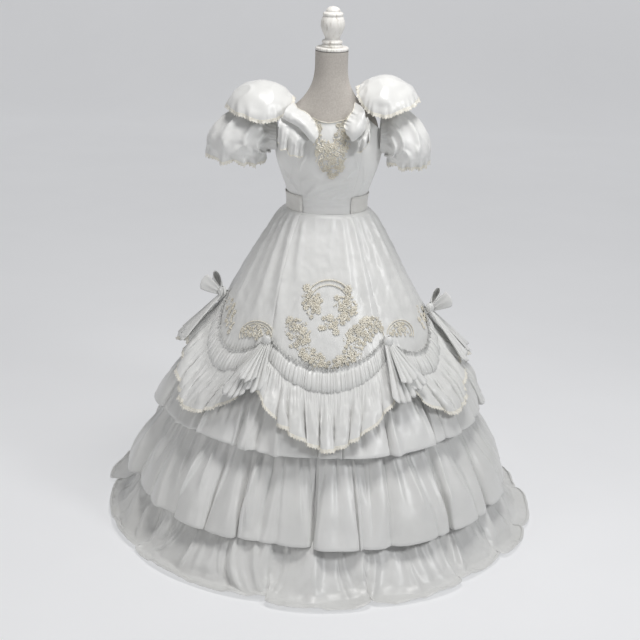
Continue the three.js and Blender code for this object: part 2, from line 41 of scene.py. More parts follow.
# ------------------------------------------------------------------ numbers
def smooth(a, b, x):
    t = np.clip((np.asarray(x, float) - a) / (b - a), 0, 1)
    return t * t * (3 - 2 * t)


def mix(a, b, t):
    return a + (b - a) * t


def noise3(p, seed=0):
    """Value noise from -1 to 1 at points p[..., 3]."""
    p = np.asarray(p, float)
    i = np.floor(p).astype(np.int64)
    f = p - i
    f = f * f * f * (f * (6 * f - 15) + 10)

    def h(a, b, c):
        n = (a * 374761393 + b * 668265263 + c * 2147483647 + seed * 144269504) & 0xFFFFFFFF
        n = ((n ^ (n >> 13)) * 1274126177) & 0xFFFFFFFF
        return ((n ^ (n >> 16)) & 0xFFFF) / 32767.5 - 1

    x, y, z = i[..., 0], i[..., 1], i[..., 2]
    u, v, w = f[..., 0], f[..., 1], f[..., 2]
    c00 = mix(h(x, y, z), h(x + 1, y, z), u)
    c10 = mix(h(x, y + 1, z), h(x + 1, y + 1, z), u)
    c01 = mix(h(x, y, z + 1), h(x + 1, y, z + 1), u)
    c11 = mix(h(x, y + 1, z + 1), h(x + 1, y + 1, z + 1), u)
    return mix(mix(c00, c10, v), mix(c01, c11, v), w)


def fbm(p, seed=0, octaves=3):
    p = np.asarray(p, float)
    return sum(noise3(p * 2.03 ** k + 17.3 * k, seed + k) * 0.5 ** k for k in range(octaves))


class Table:
    """Rows of (z, columns...), read on a smooth curve through them."""

    def __init__(self, rows):
        a = np.array(sorted(rows), float)
        self.z, self.c = a[:, 0], a[:, 1:]

    def __call__(self, z):
        z = np.asarray(z, float)
        n = len(self.z)
        k = np.clip(np.searchsorted(self.z, z, side="left") - 1, 0, n - 2)
        kb, ka = np.maximum(0, k - 1), np.minimum(n - 1, k + 2)
        h = (self.z[k + 1] - self.z[k])
        t = np.clip((z - self.z[k]) / h, 0, 1)[..., None]
        a, b = self.c[k], self.c[k + 1]
        ma = (b - self.c[kb]) / (self.z[k + 1] - self.z[kb])[..., None] * h[..., None]
        mb = (self.c[ka] - a) / (self.z[ka] - self.z[k])[..., None] * h[..., None]
        t2, t3 = t * t, t * t * t
        return (2 * t3 - 3 * t2 + 1) * a + (t3 - 2 * t2 + t) * ma + (3 * t2 - 2 * t3) * b + (t3 - t2) * mb


# The sections of the dress form and of the skirt's carrying cone: height, half width, reach to the front and to the back.
FORM = Table([
    (862, 148, 102, 110), (930, 138, 97, 103), (1000, 118, 89, 89), (1032, 115, 87, 86), (1070, 122, 94, 89), (1115, 138, 108, 95),
    (1165, 153, 123, 101), (1205, 157, 125, 104), (1250, 150, 112, 102), (1285, 140, 96, 96), (1308, 122, 84, 88), (1330, 95, 75, 80),
    (1354, 75, 68, 72), (1386, 58, 60, 62), (1422, 50.5, 53, 53), (1487, 49.5, 50, 50)])
SKIRT = Table([
    (1003, 126, 97, 97), (960, 150, 118, 126), (900, 184, 150, 168), (780, 250, 214, 250), (680, 306, 270, 316), (600, 350, 314, 368),
    (500, 400, 362, 428), (400, 442, 404, 486), (300, 480, 446, 542), (200, 518, 490, 596), (100, 550, 534, 646), (0, 576, 570, 690)])


def around(table, deg, z, out=0.0):
    deg, z, out = np.broadcast_arrays(np.asarray(deg, float), np.asarray(z, float), np.asarray(out, float))
    r = table(z)
    s, c = np.sin(np.radians(deg)), np.cos(np.radians(deg))
    side, reach = r[..., 0], np.where(c >= 0, r[..., 1], r[..., 2])
    nx, ny = s / side, -c / reach
    l = np.hypot(nx, ny)
    return np.stack([side * s + out * nx / l, -reach * c + out * ny / l, z], -1)


def unit(v):
    return v / np.maximum(np.linalg.norm(v, axis=-1, keepdims=True), 1e-9)


def normals(P, ring=False):
    """Unit normals of a grid: across i, then across j."""
    du = np.roll(P, -1, 0) - np.roll(P, 1, 0) if ring else np.gradient(P, axis=0)
    dv = np.gradient(P, axis=1)
    return unit(np.cross(du, dv))


def along(P, ring=False):
    """Length along a line of points, from its start, and its whole length."""
    d = np.linalg.norm(np.diff(P, axis=0), axis=1)
    s = np.concatenate([[0], np.cumsum(d)])
    return s, s[-1] + (np.linalg.norm(P[0] - P[-1]) if ring else 0)


def gathers(s, total, spacing, seed, jitter=0.5, low=0.35):
    """Uneven gathers along a length: how far across its fold each place is, from 0 to 1, and its fold's height."""
    r = np.random.default_rng(seed)
    n = max(2, round(total / spacing))
    w = 1 + jitter * (2 * r.random(n) - 1)
    edge = np.concatenate([[0], np.cumsum(w)]) / w.sum() * total
    k = np.clip(np.searchsorted(edge, s, side="right") - 1, 0, n - 1)
    return (s - edge[k]) / (edge[k + 1] - edge[k]), (low + (1 - low) * r.random(n))[k]


def resample(line, n, ring=False):
    """n points evenly spaced along a line."""
    L = np.vstack([line, line[:1]]) if ring else line
    s, _ = along(L)
    q = np.linspace(0, s[-1], n + 1)[:-1] if ring else np.linspace(0, s[-1], n)
    return np.stack([np.interp(q, s, L[:, k]) for k in range(3)], -1)


# ------------------------------------------------------------------ meshes
class Soup:
    """Points and faces of one piece, with a material number for each face."""

    def __init__(self):
        self.v, self.f, self.m, self.n = [], [], [], 0

    def add(self, v, f, m=0):
        v, f = np.asarray(v, float).reshape(-1, 3), np.asarray(f)
        self.f.append(f + self.n)
        self.v.append(v)
        self.m.append(np.full(len(f), m))
        self.n += len(v)

    def grid(self, P, ring=False, flip=False, m=0):
        ni, nj = P.shape[:2]
        i, j = np.meshgrid(np.arange(ni if ring else ni - 1), np.arange(nj - 1), indexing="ij")
        i, j = i.ravel(), j.ravel()
        k = (i + 1) % ni
        f = np.stack([i * nj + j, k * nj + j, k * nj + j + 1, i * nj + j + 1], 1)
        self.add(P.reshape(-1, 3), f[:, ::-1] if flip else f, m)

    def build(self, name, materials):
        me = bpy.data.meshes.new(name)
        v = np.concatenate(self.v) * MM
        faces = [f for block in self.f for f in block.tolist()]
        me.from_pydata(v.tolist(), [], faces)
        me.polygons.foreach_set("use_smooth", np.ones(len(me.polygons), bool))
        for mat in materials:
            me.materials.append(mat)
        me.polygons.foreach_set("material_index", np.concatenate(self.m).astype(np.int32))
        me.update()
        ob = bpy.data.objects.new(name, me)
        bpy.context.scene.collection.objects.link(ob)
        return ob


def piece(name, soup, materials, nodes, sub=0, wall=0.0):
    ob = soup.build(name, materials)
    if wall:
        s = ob.modifiers.new("wall", "SOLIDIFY")
        s.thickness, s.offset = wall * MM, -1
    if sub:
        s = ob.modifiers.new("sub", "SUBSURF")
        s.levels = s.render_levels = sub
    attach(ob, "root")
    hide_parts(*nodes)
    return ob


def rolled(P, ring=False, deep=7.0, thick=1.3, side=1):
    """Adds a rolled hem after the grid's last row: the cloth turns under and lies behind itself."""
    n = normals(P, ring)[:, -1] * side
    d = unit(P[:, -1] - P[:, -2])
    e = P[:, -1]
    rows = [e + d * 0.6 - n * 0.5 * thick, e + d * 0.2 - n * thick, e - d * deep - n * thick]
    return np.concatenate([P, np.stack(rows, 1)], 1)


# ------------------------------------------------------------------ materials
def material(name):
    m = bpy.data.materials.new(name)
    m.use_nodes = True
    t = m.node_tree
    return m, t, t.nodes["Principled BSDF"]


def node(t, kind, **sockets):
    n = t.nodes.new(kind)
    for k, v in sockets.items():
        if hasattr(n, k):
            setattr(n, k, v)
        else:
            n.inputs[k.replace("_", " ")].default_value = v
    return n


def coords(t, scale=(1, 1, 1)):
    c, m = t.nodes.new("ShaderNodeTexCoord"), t.nodes.new("ShaderNodeMapping")
    m.inputs["Scale"].default_value = scale
    t.links.new(c.outputs["Object"], m.inputs["Vector"])
    return m.outputs["Vector"]


def ramp(t, fac, stops):
    r = t.nodes.new("ShaderNodeValToRGB")
    e = r.color_ramp.elements
    while len(e) < len(stops):
        e.new(0.5)
    for k, (p, c) in enumerate(stops):
        e[k].position = p
        e[k].color = (*c, 1) if len(c) == 3 else c
    t.links.new(fac, r.inputs["Fac"])
    return r.outputs["Color"]


def spread(t, fac, lo, hi):
    r = t.nodes.new("ShaderNodeMapRange")
    r.inputs["To Min"].default_value, r.inputs["To Max"].default_value = lo, hi
    t.links.new(fac, r.inputs["Value"])
    return r.outputs["Result"]


def bumps(t, bsdf, heights):
    """A chain of bumps: (height socket, strength, distance in metres)."""
    last = None
    for h, strength, distance in heights:
        b = t.nodes.new("ShaderNodeBump")
        b.inputs["Strength"].default_value, b.inputs["Distance"].default_value = strength, distance
        t.links.new(h, b.inputs["Height"])
        if last:
            t.links.new(last, b.inputs["Normal"])
        last = b.outputs["Normal"]
    t.links.new(last, bsdf.inputs["Normal"])


def noise(t, vector, scale, detail=3.0, rough=0.55, distort=0.0):
    n = node(t, "ShaderNodeTexNoise", Scale=scale, Detail=detail, Roughness=rough, Distortion=distort)
    t.links.new(vector, n.inputs["Vector"])
    return n.outputs["Fac"]


def satin_material(name, pale, dull, rough=(0.30, 0.44), crease=0.25):
    m, t, b = material(name)
    v = coords(t)
    t.links.new(ramp(t, noise(t, v, 5.0, 4.0), [(0.3, dull), (0.62, pale)]), b.inputs["Base Color"])
    t.links.new(spread(t, noise(t, v, 40.0, 3.0), *rough), b.inputs["Roughness"])
    warp = node(t, "ShaderNodeTexWave", Scale=420.0, Distortion=1.2, Detail=1.0)
    warp.bands_direction = "DIAGONAL"
    t.links.new(v, warp.inputs["Vector"])
    bumps(t, b, [(noise(t, v, 34.0, 5.0, 0.5, 0.6), crease, 0.0022), (warp.outputs["Fac"], 0.06, 0.0003)])
    b.inputs["Sheen Weight"].default_value = 0.18
    b.inputs["Sheen Roughness"].default_value = 0.35
    b.inputs["Specular IOR Level"].default_value = 0.5
    return m


def lace_material(name, pale, deep, scale=520.0):
    m, t, b = material(name)
    v = coords(t)
    cell = node(t, "ShaderNodeTexVoronoi", Scale=scale)
    t.links.new(v, cell.inputs["Vector"])
    t.links.new(ramp(t, noise(t, v, 160.0, 4.0), [(0.32, deep), (0.6, pale)]), b.inputs["Base Color"])
    b.inputs["Roughness"].default_value = 0.72
    b.inputs["Sheen Weight"].default_value = 0.25
    bumps(t, b, [(cell.outputs["Distance"], 0.5, 0.0008), (noise(t, v, 900.0, 2.0), 0.3, 0.0004)])
    return m


SATIN = satin_material("white_satin", (0.79, 0.79, 0.775), (0.73, 0.73, 0.71), rough=(0.26, 0.42))
SATIN_DULL = satin_material("white_satin_dull", (0.74, 0.73, 0.70), (0.69, 0.68, 0.645), rough=(0.5, 0.65), crease=0.35)
LACE = lace_material("ivory_lace", (0.87, 0.84, 0.75), (0.72, 0.66, 0.53))
EDGE_LACE = lace_material("pale_lace", (0.88, 0.86, 0.79), (0.80, 0.76, 0.66))
PEARL, _t, _b = material("pearl_bead")
_t.links.new(ramp(_t, noise(_t, coords(_t), 60.0), [(0.3, (0.78, 0.72, 0.60)), (0.7, (0.90, 0.87, 0.79))]), _b.inputs["Base Color"])
_b.inputs["Roughness"].default_value = 0.22
_b.inputs["Coat Weight"].default_value = 0.4


def linen_material():
    m, t, b = material("form_linen")
    v = coords(t)
    t.links.new(ramp(t, noise(t, v, 220.0, 5.0, 0.7), [(0.25, (0.40, 0.365, 0.33)), (0.75, (0.56, 0.53, 0.49))]), b.inputs["Base Color"])
    b.inputs["Roughness"].default_value = 0.9
    b.inputs["Sheen Weight"].default_value = 0.2
    w1 = node(t, "ShaderNodeTexWave", Scale=330.0, Distortion=2.0, Detail=2.0)
    w1.bands_direction = "Z"
    w2 = node(t, "ShaderNodeTexWave", Scale=330.0, Distortion=2.0, Detail=2.0)
    w2.bands_direction = "X"
    t.links.new(v, w1.inputs["Vector"])
    t.links.new(v, w2.inputs["Vector"])
    bumps(t, b, [(w1.outputs["Fac"], 0.35, 0.0006), (w2.outputs["Fac"], 0.35, 0.0006)])
    return m


def wood_material():
    m, t, b = material("washed_wood")
    v = coords(t, (1, 1, 0.22))
    t.links.new(ramp(t, noise(t, v, 90.0, 6.0, 0.65, 0.8), [(0.30, (0.42, 0.39, 0.35)), (0.44, (0.74, 0.72, 0.68)), (0.7, (0.84, 0.83, 0.80))]), b.inputs["Base Color"])
    t.links.new(spread(t, noise(t, v, 60.0), 0.4, 0.65), b.inputs["Roughness"])
    bumps(t, b, [(noise(t, v, 240.0, 4.0), 0.3, 0.0008)])
    return m


def steel_material():
    m, t, b = material("brushed_steel")
    v = coords(t, (1, 1, 0.05))
    b.inputs["Metallic"].default_value = 1.0
    t.links.new(ramp(t, noise(t, v, 700.0), [(0.3, (0.52, 0.52, 0.53)), (0.7, (0.66, 0.66, 0.67))]), b.inputs["Base Color"])
    t.links.new(spread(t, noise(t, v, 500.0), 0.28, 0.42), b.inputs["Roughness"])
    bumps(t, b, [(noise(t, v, 900.0), 0.1, 0.0003)])
    return m


LINEN, WOOD, STEEL = linen_material(), wood_material(), steel_material()

# ------------------------------------------------------------------ the dress form
def lathe(profile, sides=96, per=3):
    """A turned solid from (radius, height) corners, with a little rounding at each corner."""
    p = np.array(profile, float)
    pts = [p[0]]
    for a, b, c in zip(p[:-2], p[1:-1], p[2:]):
        ra, rc = min(1.0, 0.35 * np.linalg.norm(b - a)), min(1.0, 0.35 * np.linalg.norm(c - b))
        q0, q1 = b + unit(a - b) * ra, b + unit(c - b) * rc
        for k in range(per + 1):
            t = k / per
            pts.append((1 - t) ** 2 * q0 + 2 * t * (1 - t) * b + t * t * q1)
    pts.append(p[-1])
    p = np.array(pts)
    a = np.linspace(0, 2 * np.pi, sides, endpoint=False)
    return np.stack(np.broadcast_arrays(p[None, :, 0] * np.sin(a)[:, None], -p[None, :, 0] * np.cos(a)[:, None], p[None, :, 1]), -1)


z = np.concatenate([[862.0], np.linspace(862, 1487, 90)])
deg = np.linspace(0, 360, 128, endpoint=False)
P = around(FORM, deg[:, None], z[None, :])
# the side seams of the neck and shoulder lie in a shallow groove, and so does the one at the centre back
for seam in (90, 180, 270):
    away = np.abs((deg - seam + 180) % 360 - 180)[:, None] * np.pi / 180 * np.hypot(P[..., 0], P[..., 1])
    P -= normals(P, True) * (1.3 * np.exp(-(away / 2.6) ** 2))[..., None]
P[:, 0, :2] *= 0.02
s = Soup()
s.grid(P, True)
torso = piece("form_torso_linen", s, [LINEN], ["form_torso"])
s = Soup()
s.grid(lathe([(0, 1487.3), (47, 1487.3), (49.5, 1489.5), (49.5, 1495), (47, 1497.3), (0, 1497.3)]), True)
piece("form_cap_wood", s, [WOOD], ["form_neck_cap"])
K = 1497.6
KNOB = [(0, 0), (31, 0), (31.5, 3.5), (30, 7), (26.5, 9), (26.5, 11), (31, 12.5), (31, 16), (28, 19.5), (22.5, 22), (22, 25), (23, 29), (26, 35), (30, 43), (33.5, 52),
        (35.6, 60), (36, 67), (35.4, 74), (33.5, 81), (30.5, 87.5), (28.3, 90), (29.8, 91.5), (30.6, 95), (29.8, 98.5), (26, 101), (22, 102.3), (21.2, 104.5), (20.8, 108), (17.5, 112.5), (11, 116.3), (5, 117.8), (0, 118)]
s = Soup()
s.grid(lathe([(r, K + h) for r, h in KNOB], 64), True)
piece("form_knob_wood", s, [WOOD], ["form_knob"])
s = Soup()
s.grid(lathe([(0, 14.3), (14, 14.3), (14, 861.7), (0, 861.7)], 48), True)
piece("form_pole_steel", s, [STEEL], ["form_pole"])
s = Soup()
s.grid(lathe([(0, 0), (165, 0), (165, 6), (153, 12), (40, 14), (0, 14)], 128), True)
piece("form_base_steel", s, [STEEL], ["form_base"])

# ------------------------------------------------------------------ underskirt and tiers
z = np.linspace(1002, 96, 60)
deg = np.linspace(0, 360, 144, endpoint=False)
P = around(SKIRT, deg[:, None], z[None, :], -0.6)
s = Soup()
s.grid(rolled(P, True, side=-1), True, True)
underskirt = piece("underskirt_satin", s, [SATIN], ["underskirt"])


def pleated(a, t, seed, count, wide, turn=360.0):
    """Uneven folds down a gathered sheet: some sharp valleys, some soft ridges, each with its own start, end, slant and width."""
    g = np.random.default_rng(seed)
    out = 0.0
    for k in range(count):
        at, slant = turn * (k + 0.9 * g.random()) / count, (g.random() - 0.5) * wide * 3
        w, h = wide * (0.45 + g.random()), 0.3 + 0.7 * g.random()
        kind, t0, t1 = g.random(), -0.3 + 0.6 * g.random() ** 2, 0.55 + 0.7 * g.random()
        off = a - at - slant * (t - 0.5)
        if turn == 360.0:
            off = (off + 180) % 360 - 180
        x = off / (w * (0.45 + 0.8 * t))
        fade = smooth(t0 - 0.12, t0 + 0.15, t) * (1 - smooth(t1 - 0.2, t1 + 0.1, t))
        if kind < 0.5:
            out = out - h * fade * np.exp(-1.5 * np.abs(x))
        else:
            out = out + 0.8 * h * fade * np.exp(-np.where(x > 0, x * 1.7, x * 0.8) ** 2)
    return out


def tier(name, node_name, top, hem, flare, deep, folds, seed, n, m):
    """A gathered flounce round the skirt: small gathers at its seam run together into fewer, wider folds at its hem."""
    t = np.linspace(0, 1, m)[None, :]
    a = np.linspace(0, 360, n, endpoint=False)[:, None]
    wob = sum(np.cos(np.radians(a) * k + p) / k for k, p in zip((2, 3, 5, 7), np.random.default_rng(seed).random(4) * 6.3))
    f, h = gathers(a[:, 0], 360.0, 360.0 / folds, seed, 0.75, 0.45)
    f2, h2 = gathers(a[:, 0], 360.0, 360.0 / (folds * 4), seed + 50, 0.6)
    big = (h * np.maximum(0, np.sin(np.pi * f)) ** 0.48)[:, None] * smooth(-0.05, 0.8, t)
    small = (h2 * np.maximum(0, np.sin(np.pi * f2)) ** 0.7)[:, None] * (1 - smooth(0.05, 0.5, t))
    swing = -(h * np.sin(2 * np.pi * f))[:, None] * smooth(0.1, 1, t) * 0.16 * 360 / folds
    zz = mix(top, hem, t) + 6 * t * wob + 9 * t * (big - 0.5)
    lines = 1.4 * pleated(a, t, seed + 7, 84, 1.15) + 1.5 * pleated(a, t, seed + 8, 40, 2.8)
    P = around(SKIRT, a + swing, zz, 8 + flare * t + deep * big + 3.0 * small + 18 * lines * smooth(0.0, 0.3, t) * (0.55 + 0.45 * t))
    N = normals(P, True) * -1
    P = P + N * (2.2 * fbm(P / np.array([55, 55, 70]), seed, 3) * smooth(0, 0.2, t))[..., None]
    P = rolled(P, True, side=-1)
    s = Soup()
    s.grid(P, True, True)
    ob = piece(name, s, [SATIN], [node_name])


tier("tier_upper_satin", "tier_upper", 596, 376, 30, 48, 21, 11, 760, 28)
tier("tier_middle_satin", "tier_middle", 404, 130, 20, 52, 21, 12, 840, 32)

# The floor flounce falls to the floor and spreads there in lobes, with an arch lifted off the floor between them.
FLOOR_DIPS = np.array([-95, -55, -12, 14, 40, 58, 75, 97, 120, 142, 163, 185, 207, 228, 247, 265], float)
n, m = 900, 44
a = np.linspace(-95, 265, n, endpoint=False)
k = np.clip(np.searchsorted(FLOOR_DIPS, a, side="right") - 1, 0, len(FLOOR_DIPS) - 2)
f = (a - FLOOR_DIPS[k]) / (FLOOR_DIPS[k + 1] - FLOOR_DIPS[k])
far = (0.66 + 0.34 * np.random.default_rng(3).random(len(FLOOR_DIPS)))[k][:, None]
lobe = (np.maximum(0, np.sin(np.pi * f)) ** 0.5)[:, None]
q = np.linspace(0, 1, m)[None, :]
z_lobe = np.interp(q, [0, 0.2, 0.45, 0.62, 0.74, 0.84, 1], [190, 120, 58, 24, 9, 5, 3])
z_dip = np.interp(q, [0, 0.3, 0.6, 0.85, 1], [190, 122, 58, 22, 15])
o_lobe = np.interp(q, [0, 0.2, 0.45, 0.62, 0.74, 0.84, 1], [7, 22, 56, 80, 100, 118, 150])
o_dip = np.interp(q, [0, 0.3, 0.6, 0.85, 1], [6, 14, 34, 66, 88])
grow = smooth(0.02, 0.5, q)
zz = mix(z_dip, z_lobe, lobe) + 0 * q
out = mix(mix(o_lobe, o_dip, 0.5), mix(o_dip, o_lobe * far + 4, lobe), grow)
lines = pleated(a[:, None] + 95, q, 91, 74, 1.4) + 1.3 * pleated(a[:, None] + 95, q, 92, 38, 3.0) + 1.6 * pleated(a[:, None] + 95, q, 93, 20, 6.0)
f2, h2 = gathers(a + 95, 360.0, 3.4, 71, 0.6)
small = (h2 * np.maximum(0, np.sin(np.pi * f2)))[:, None] * (1 - smooth(0.05, 0.5, q))
swing = -(0.16 * (FLOOR_DIPS[k + 1] - FLOOR_DIPS[k]) * np.sin(2 * np.pi * f))[:, None] * smooth(0.3, 1, q)
flat = 1 - smooth(0.7, 0.95, q)
P = around(SKIRT, a[:, None] + swing, zz, out + 17 * lines * smooth(0, 0.25, q) * flat + 4 * small)
lay = (1 - flat) * lobe
P[..., 2] += lay * (6.0 + 7.0 * lines + 7.0 * fbm(P / 48, 15, 3) + 7 * np.exp(-((q - 0.985) / 0.02) ** 2))
P = P + (normals(P, True) * -2.4 * (fbm(P / 52, 16, 3) * smooth(0, 0.2, q) * flat)[..., None])
P[..., 2] = np.maximum(P[..., 2], 1.6)
P = rolled(P, True, side=-1)
P[..., 2] = np.maximum(P[..., 2], 0.4)
s = Soup()
s.grid(P, True, True)
floor_tier = piece("tier_floor_satin", s, [SATIN], ["tier_floor"])

# ------------------------------------------------------------------ overskirt
SWAGS = [  # name, bow angles, bow heights, waist angles, dip, flounce length at its ends and middle
    ("front", -28, 34, 668, 670, -37, 37, 74, 66, 128), ("right", 34, 80, 670, 705, 37, 92, 84, 72, 98),
    ("back_right", 80, 180, 705, 690, 92, 180, 96, 74, 106), ("back_left", 180, 280, 690, 735, 180, 268, 100, 74, 106),
    ("left", 280, 332, 735, 668, 268, 323, 94, 84, 106)]
OVER, BAND, BODICE = 9.0, 54.0, 6.0


def bump_sin(u, p):
    return np.maximum(0, np.sin(np.pi * u)) ** p


def swag_z(s, u):
    return mix(s[3], s[4], u) - s[7] * bump_sin(u, 0.8)


def band_z(s, u):
    return swag_z(s, u) - BAND * (0.72 + 0.28 * np.sin(np.pi * u))


def flounce_z(s, u):
    return band_z(s, u) - mix(s[8], s[9], bump_sin(u, 0.8))


def pinch(u):
    return np.clip(np.minimum(5 * u, 5 * (1 - u)), 0, 1)


# Soft folds of the overskirt: angle and share of the way down where each starts and ends, its width and its height.
OVER_FOLDS = [
    (-33, 0.00, -24, 0.95, 15, 9), (-21, 0.02, -15, 0.62, 11, 5), (-9, 0.0, -4, 0.22, 9, 4), (3, 0.02, -6, 0.2, 8, 4), (10, 0.0, 4, 0.26, 9, 3.5),
    (20, 0.0, 17, 0.7, 12, 5), (31, 0.0, 29, 0.95, 13, 9), (40, 0.0, 39, 0.5, 9, 5), (48, 0.02, 50, 0.9, 13, 6),
    (61, 0.0, 62, 0.9, 12, 7), (72, 0.0, 74, 0.85, 14, 8), (86, 0.0, 86, 0.7, 14, 7), (-44, 0.0, -40, 0.8, 13, 7), (-54, 0.0, -50, 0.55, 12, 6),
    (-63, 0.0, -62, 0.9, 13, 8), (-76, 0.0, -78, 0.8, 15, 8), (-92, 0.0, -96, 0.9, 16, 9), (102, 0.0, 104, 0.85, 15, 8), (118, 0.0, 122, 0.7, 16, 7),
    (134, 0.0, 136, 0.9, 15, 8), (150, 0.0, 150, 0.75, 15, 8), (166, 0.0, 164, 0.9, 14, 8), (180, 0.0, 180, 0.6, 13, 7), (196, 0.0, 199, 0.9, 15, 8),
    (213, 0.0, 215, 0.7, 16, 7), (230, 0.0, 233, 0.9, 16, 8), (247, 0.0, 249, 0.8, 15, 8), (-14, 0.5, -24, 0.86, 13, -3), (24, 0.55, 31, 0.9, 12, -3)]


def over_out(a, down, z):
    """How far the overskirt stands off the cone at a hem angle and a share of the way from waist to hem."""
    r = SKIRT(z)[..., 0]
    out = OVER + 12 * down
    for a0, d0, a1, d1, w, h in OVER_FOLDS:
        k = np.clip((down - d0) / (d1 - d0), 0, 1)
        off = ((a - mix(a0, a1, k) + 180) % 360 - 180) * np.pi / 180 * r
        wide = w * (0.55 + 0.9 * k)
        fade = smooth(d0 - 0.03, d0 + 0.08, down) * (1 - smooth(d1 - 0.3, d1 + 0.05, down))
        out = out + 1.2 * h * fade * np.exp(-(off / wide) ** 2) * (1.0 - 0.25 * k)
    return out


def over_grid(s, u, down, lift=0.0):
    zz = mix(1001.6, swag_z(s, u), down)
    a = mix(s[1], s[2], u)
    deg = mix(mix(s[5], s[6], u), a, down)
    return around(SKIRT, deg, zz, over_out(a, down, zz) + lift)


HEM_LINES, OVER_GRIDS = {}, {}
for s_ in SWAGS:
    n, m = int(1.7 * (s_[2] - s_[1])) + 1, 72
    u, v = np.linspace(0, 1, n)[:, None], np.linspace(0, 1, m)[None, :]
    P = over_grid(s_, u, v)
    waist = around(FORM, mix(s_[5], s_[6], u[:, 0]), 1007.0, BODICE + 0.6)
    N = normals(P) * -1
    N *= np.sign((N * np.stack([P[..., 0], P[..., 1], 0 * P[..., 2]], -1)).sum(-1, keepdims=True))
    # small creases, gathers towards the band, and a shallow groove along each seam
    crease = fbm(P / np.array([62, 62, 95]), 5, 3)
    crinkle = np.abs(fbm(P / np.array([30, 30, 34]), 9, 2))
    sa, total = along(P[:, -1])
    f, h = gathers(sa, total, 11.0, 300 + int(s_[1]), 0.5)
    ruche = (h * (0.5 - 0.5 * np.cos(2 * np.pi * f)))[:, None] * smooth(0.86, 1.0, v) * 3.5
    edge = np.minimum(u, 1 - u) * total
    d = (2.2 * crease - 1.6 * crinkle) * smooth(0, 0.06, v) + ruche - 1.4 * np.exp(-(edge / 3.5) ** 2)
    P = P + N * d[..., None]
    OVER_GRIDS[s_[0]] = P
    s = Soup()
    s.grid(np.concatenate([waist[:, None], P], 1), flip=True)
    ob = piece("overskirt_%s_satin" % s_[0], s, [SATIN], ["overskirt_" + s_[0]])
    width = np.linalg.norm(np.diff(P[:, -1], axis=0), axis=1).sum() * MM
    OVER_GRIDS[s_[0] + "_piece"] = (ob, width)

    # the ruched band: a puffed strip drawn up into tight gathers, with a narrow frilled heading
    n, m = int(6 * (s_[2] - s_[1])), 16
    u = np.linspace(0, 1, n)
    v = np.linspace(-0.26, 1, m)[None, :]
    mid = around(SKIRT, mix(s_[1], s_[2], u), swag_z(s_, u), OVER + 20)
    sa, total = along(mid)
    f, h = gathers(sa, total, 10.5, 500 + int(s_[1]), 0.55, 0.25)
    f2, h2 = gathers(sa, total, 6.0, 560 + int(s_[1]), 0.5, 0.2)
    ridge = (h * (0.5 - 0.5 * np.cos(2 * np.pi * f)) ** 0.7)[:, None]
    fine = (h2 * (0.5 - 0.5 * np.cos(2 * np.pi * f2)))[:, None]
    body = np.clip(v, 0, 1)
    puff = np.sin(np.pi * body) ** 0.6
    frill = smooth(0.0, -0.26, v)
    zz = mix((swag_z(s_, u) - 0.6)[:, None], band_z(s_, u)[:, None], v) + frill * 3 * np.sin(2 * np.pi * f + 1)[:, None]
    out = OVER + 13.5 + (6 * puff * pinch(u)[:, None]) + 8 * body + (9.0 * ridge + 3.0 * fine) * (0.35 + 0.65 * puff) * (0.4 + 0.6 * pinch(u)[:, None]) + frill * (3 + 10 * ridge)
    tang = (h * np.sin(2 * np.pi * f))[:, None] * -0.5 * (0.3 + 0.7 * puff)
    P = around(SKIRT, mix(s_[1], s_[2], u)[:, None] + tang, zz, out)
    s = Soup()
    s.grid(P, flip=True)
    band = piece("swag_band_%s_satin" % s_[0], s, [SATIN], ["swag_band_" + s_[0]])

    # the flounce under the band, gathered, with its hem longer in the middle
    n, m = int(5 * (s_[2] - s_[1])), 30
    u = np.linspace(0, 1, n)
    t = np.linspace(0, 1, m)[None, :]
    top = around(SKIRT, mix(s_[1], s_[2], u), band_z(s_, u), OVER + 30)
    sa, total = along(top)
    f, h = gathers(sa, total, 46.0, 700 + int(s_[1]), 0.6, 0.5)
    f2, h2 = gathers(sa, total, 9.0, 760 + int(s_[1]), 0.5, 0.3)
    big = (h * np.maximum(0, np.sin(np.pi * f)) ** 0.6)[:, None] * smooth(-0.05, 0.8, t)
    small = (h2 * np.maximum(0, np.sin(np.pi * f2)))[:, None] * (1 - smooth(0.1, 0.7, t))
    pin = (0.3 + 0.7 * pinch(u))[:, None]
    ends = (1 - np.minimum(1, 4.5 * np.minimum(u, 1 - u)))[:, None]
    zz = mix((band_z(s_, u) + 4)[:, None], flounce_z(s_, u)[:, None], t) + 7 * t * (big - 0.5) + 22 * t * ends ** 2
    swing = -(h * np.sin(2 * np.pi * f))[:, None] * smooth(0.1, 1, t) * 1.3
    gather_in = (3.5 if s_[0] == "front" else 3.0) * np.sin(2 * np.pi * u)[:, None] * t
    lines = pleated(u[:, None] * 100, t, 800 + int(s_[1]), int(total / 15), 1150 / total, 100.0)
    P = around(SKIRT, mix(s_[1], s_[2], u)[:, None] + (swing + gather_in) * pin, zz, OVER + 20 + 34 * t + 34 * big * pin + 4 * small + 9 * lines * smooth(0.05, 0.4, t) * pin)
    N = normals(P) * -1
    P = P + N * (1.8 * fbm(P / 30, 65, 3) * smooth(0, 0.2, t))[..., None]
    long = np.linalg.norm(np.diff(P, axis=1), axis=2).sum(1)
    wide = np.linalg.norm(np.diff(P, axis=0), axis=2).sum(0).mean()
    HEM_LINES[s_[0]] = P
    s = Soup()
    s.grid(P, flip=True)
    ob = piece("swag_flounce_%s_satin" % s_[0], s, [SATIN], ["swag_flounce_" + s_[0]])
    HEM_LINES[s_[0] + "_piece"] = (ob, wide, long)


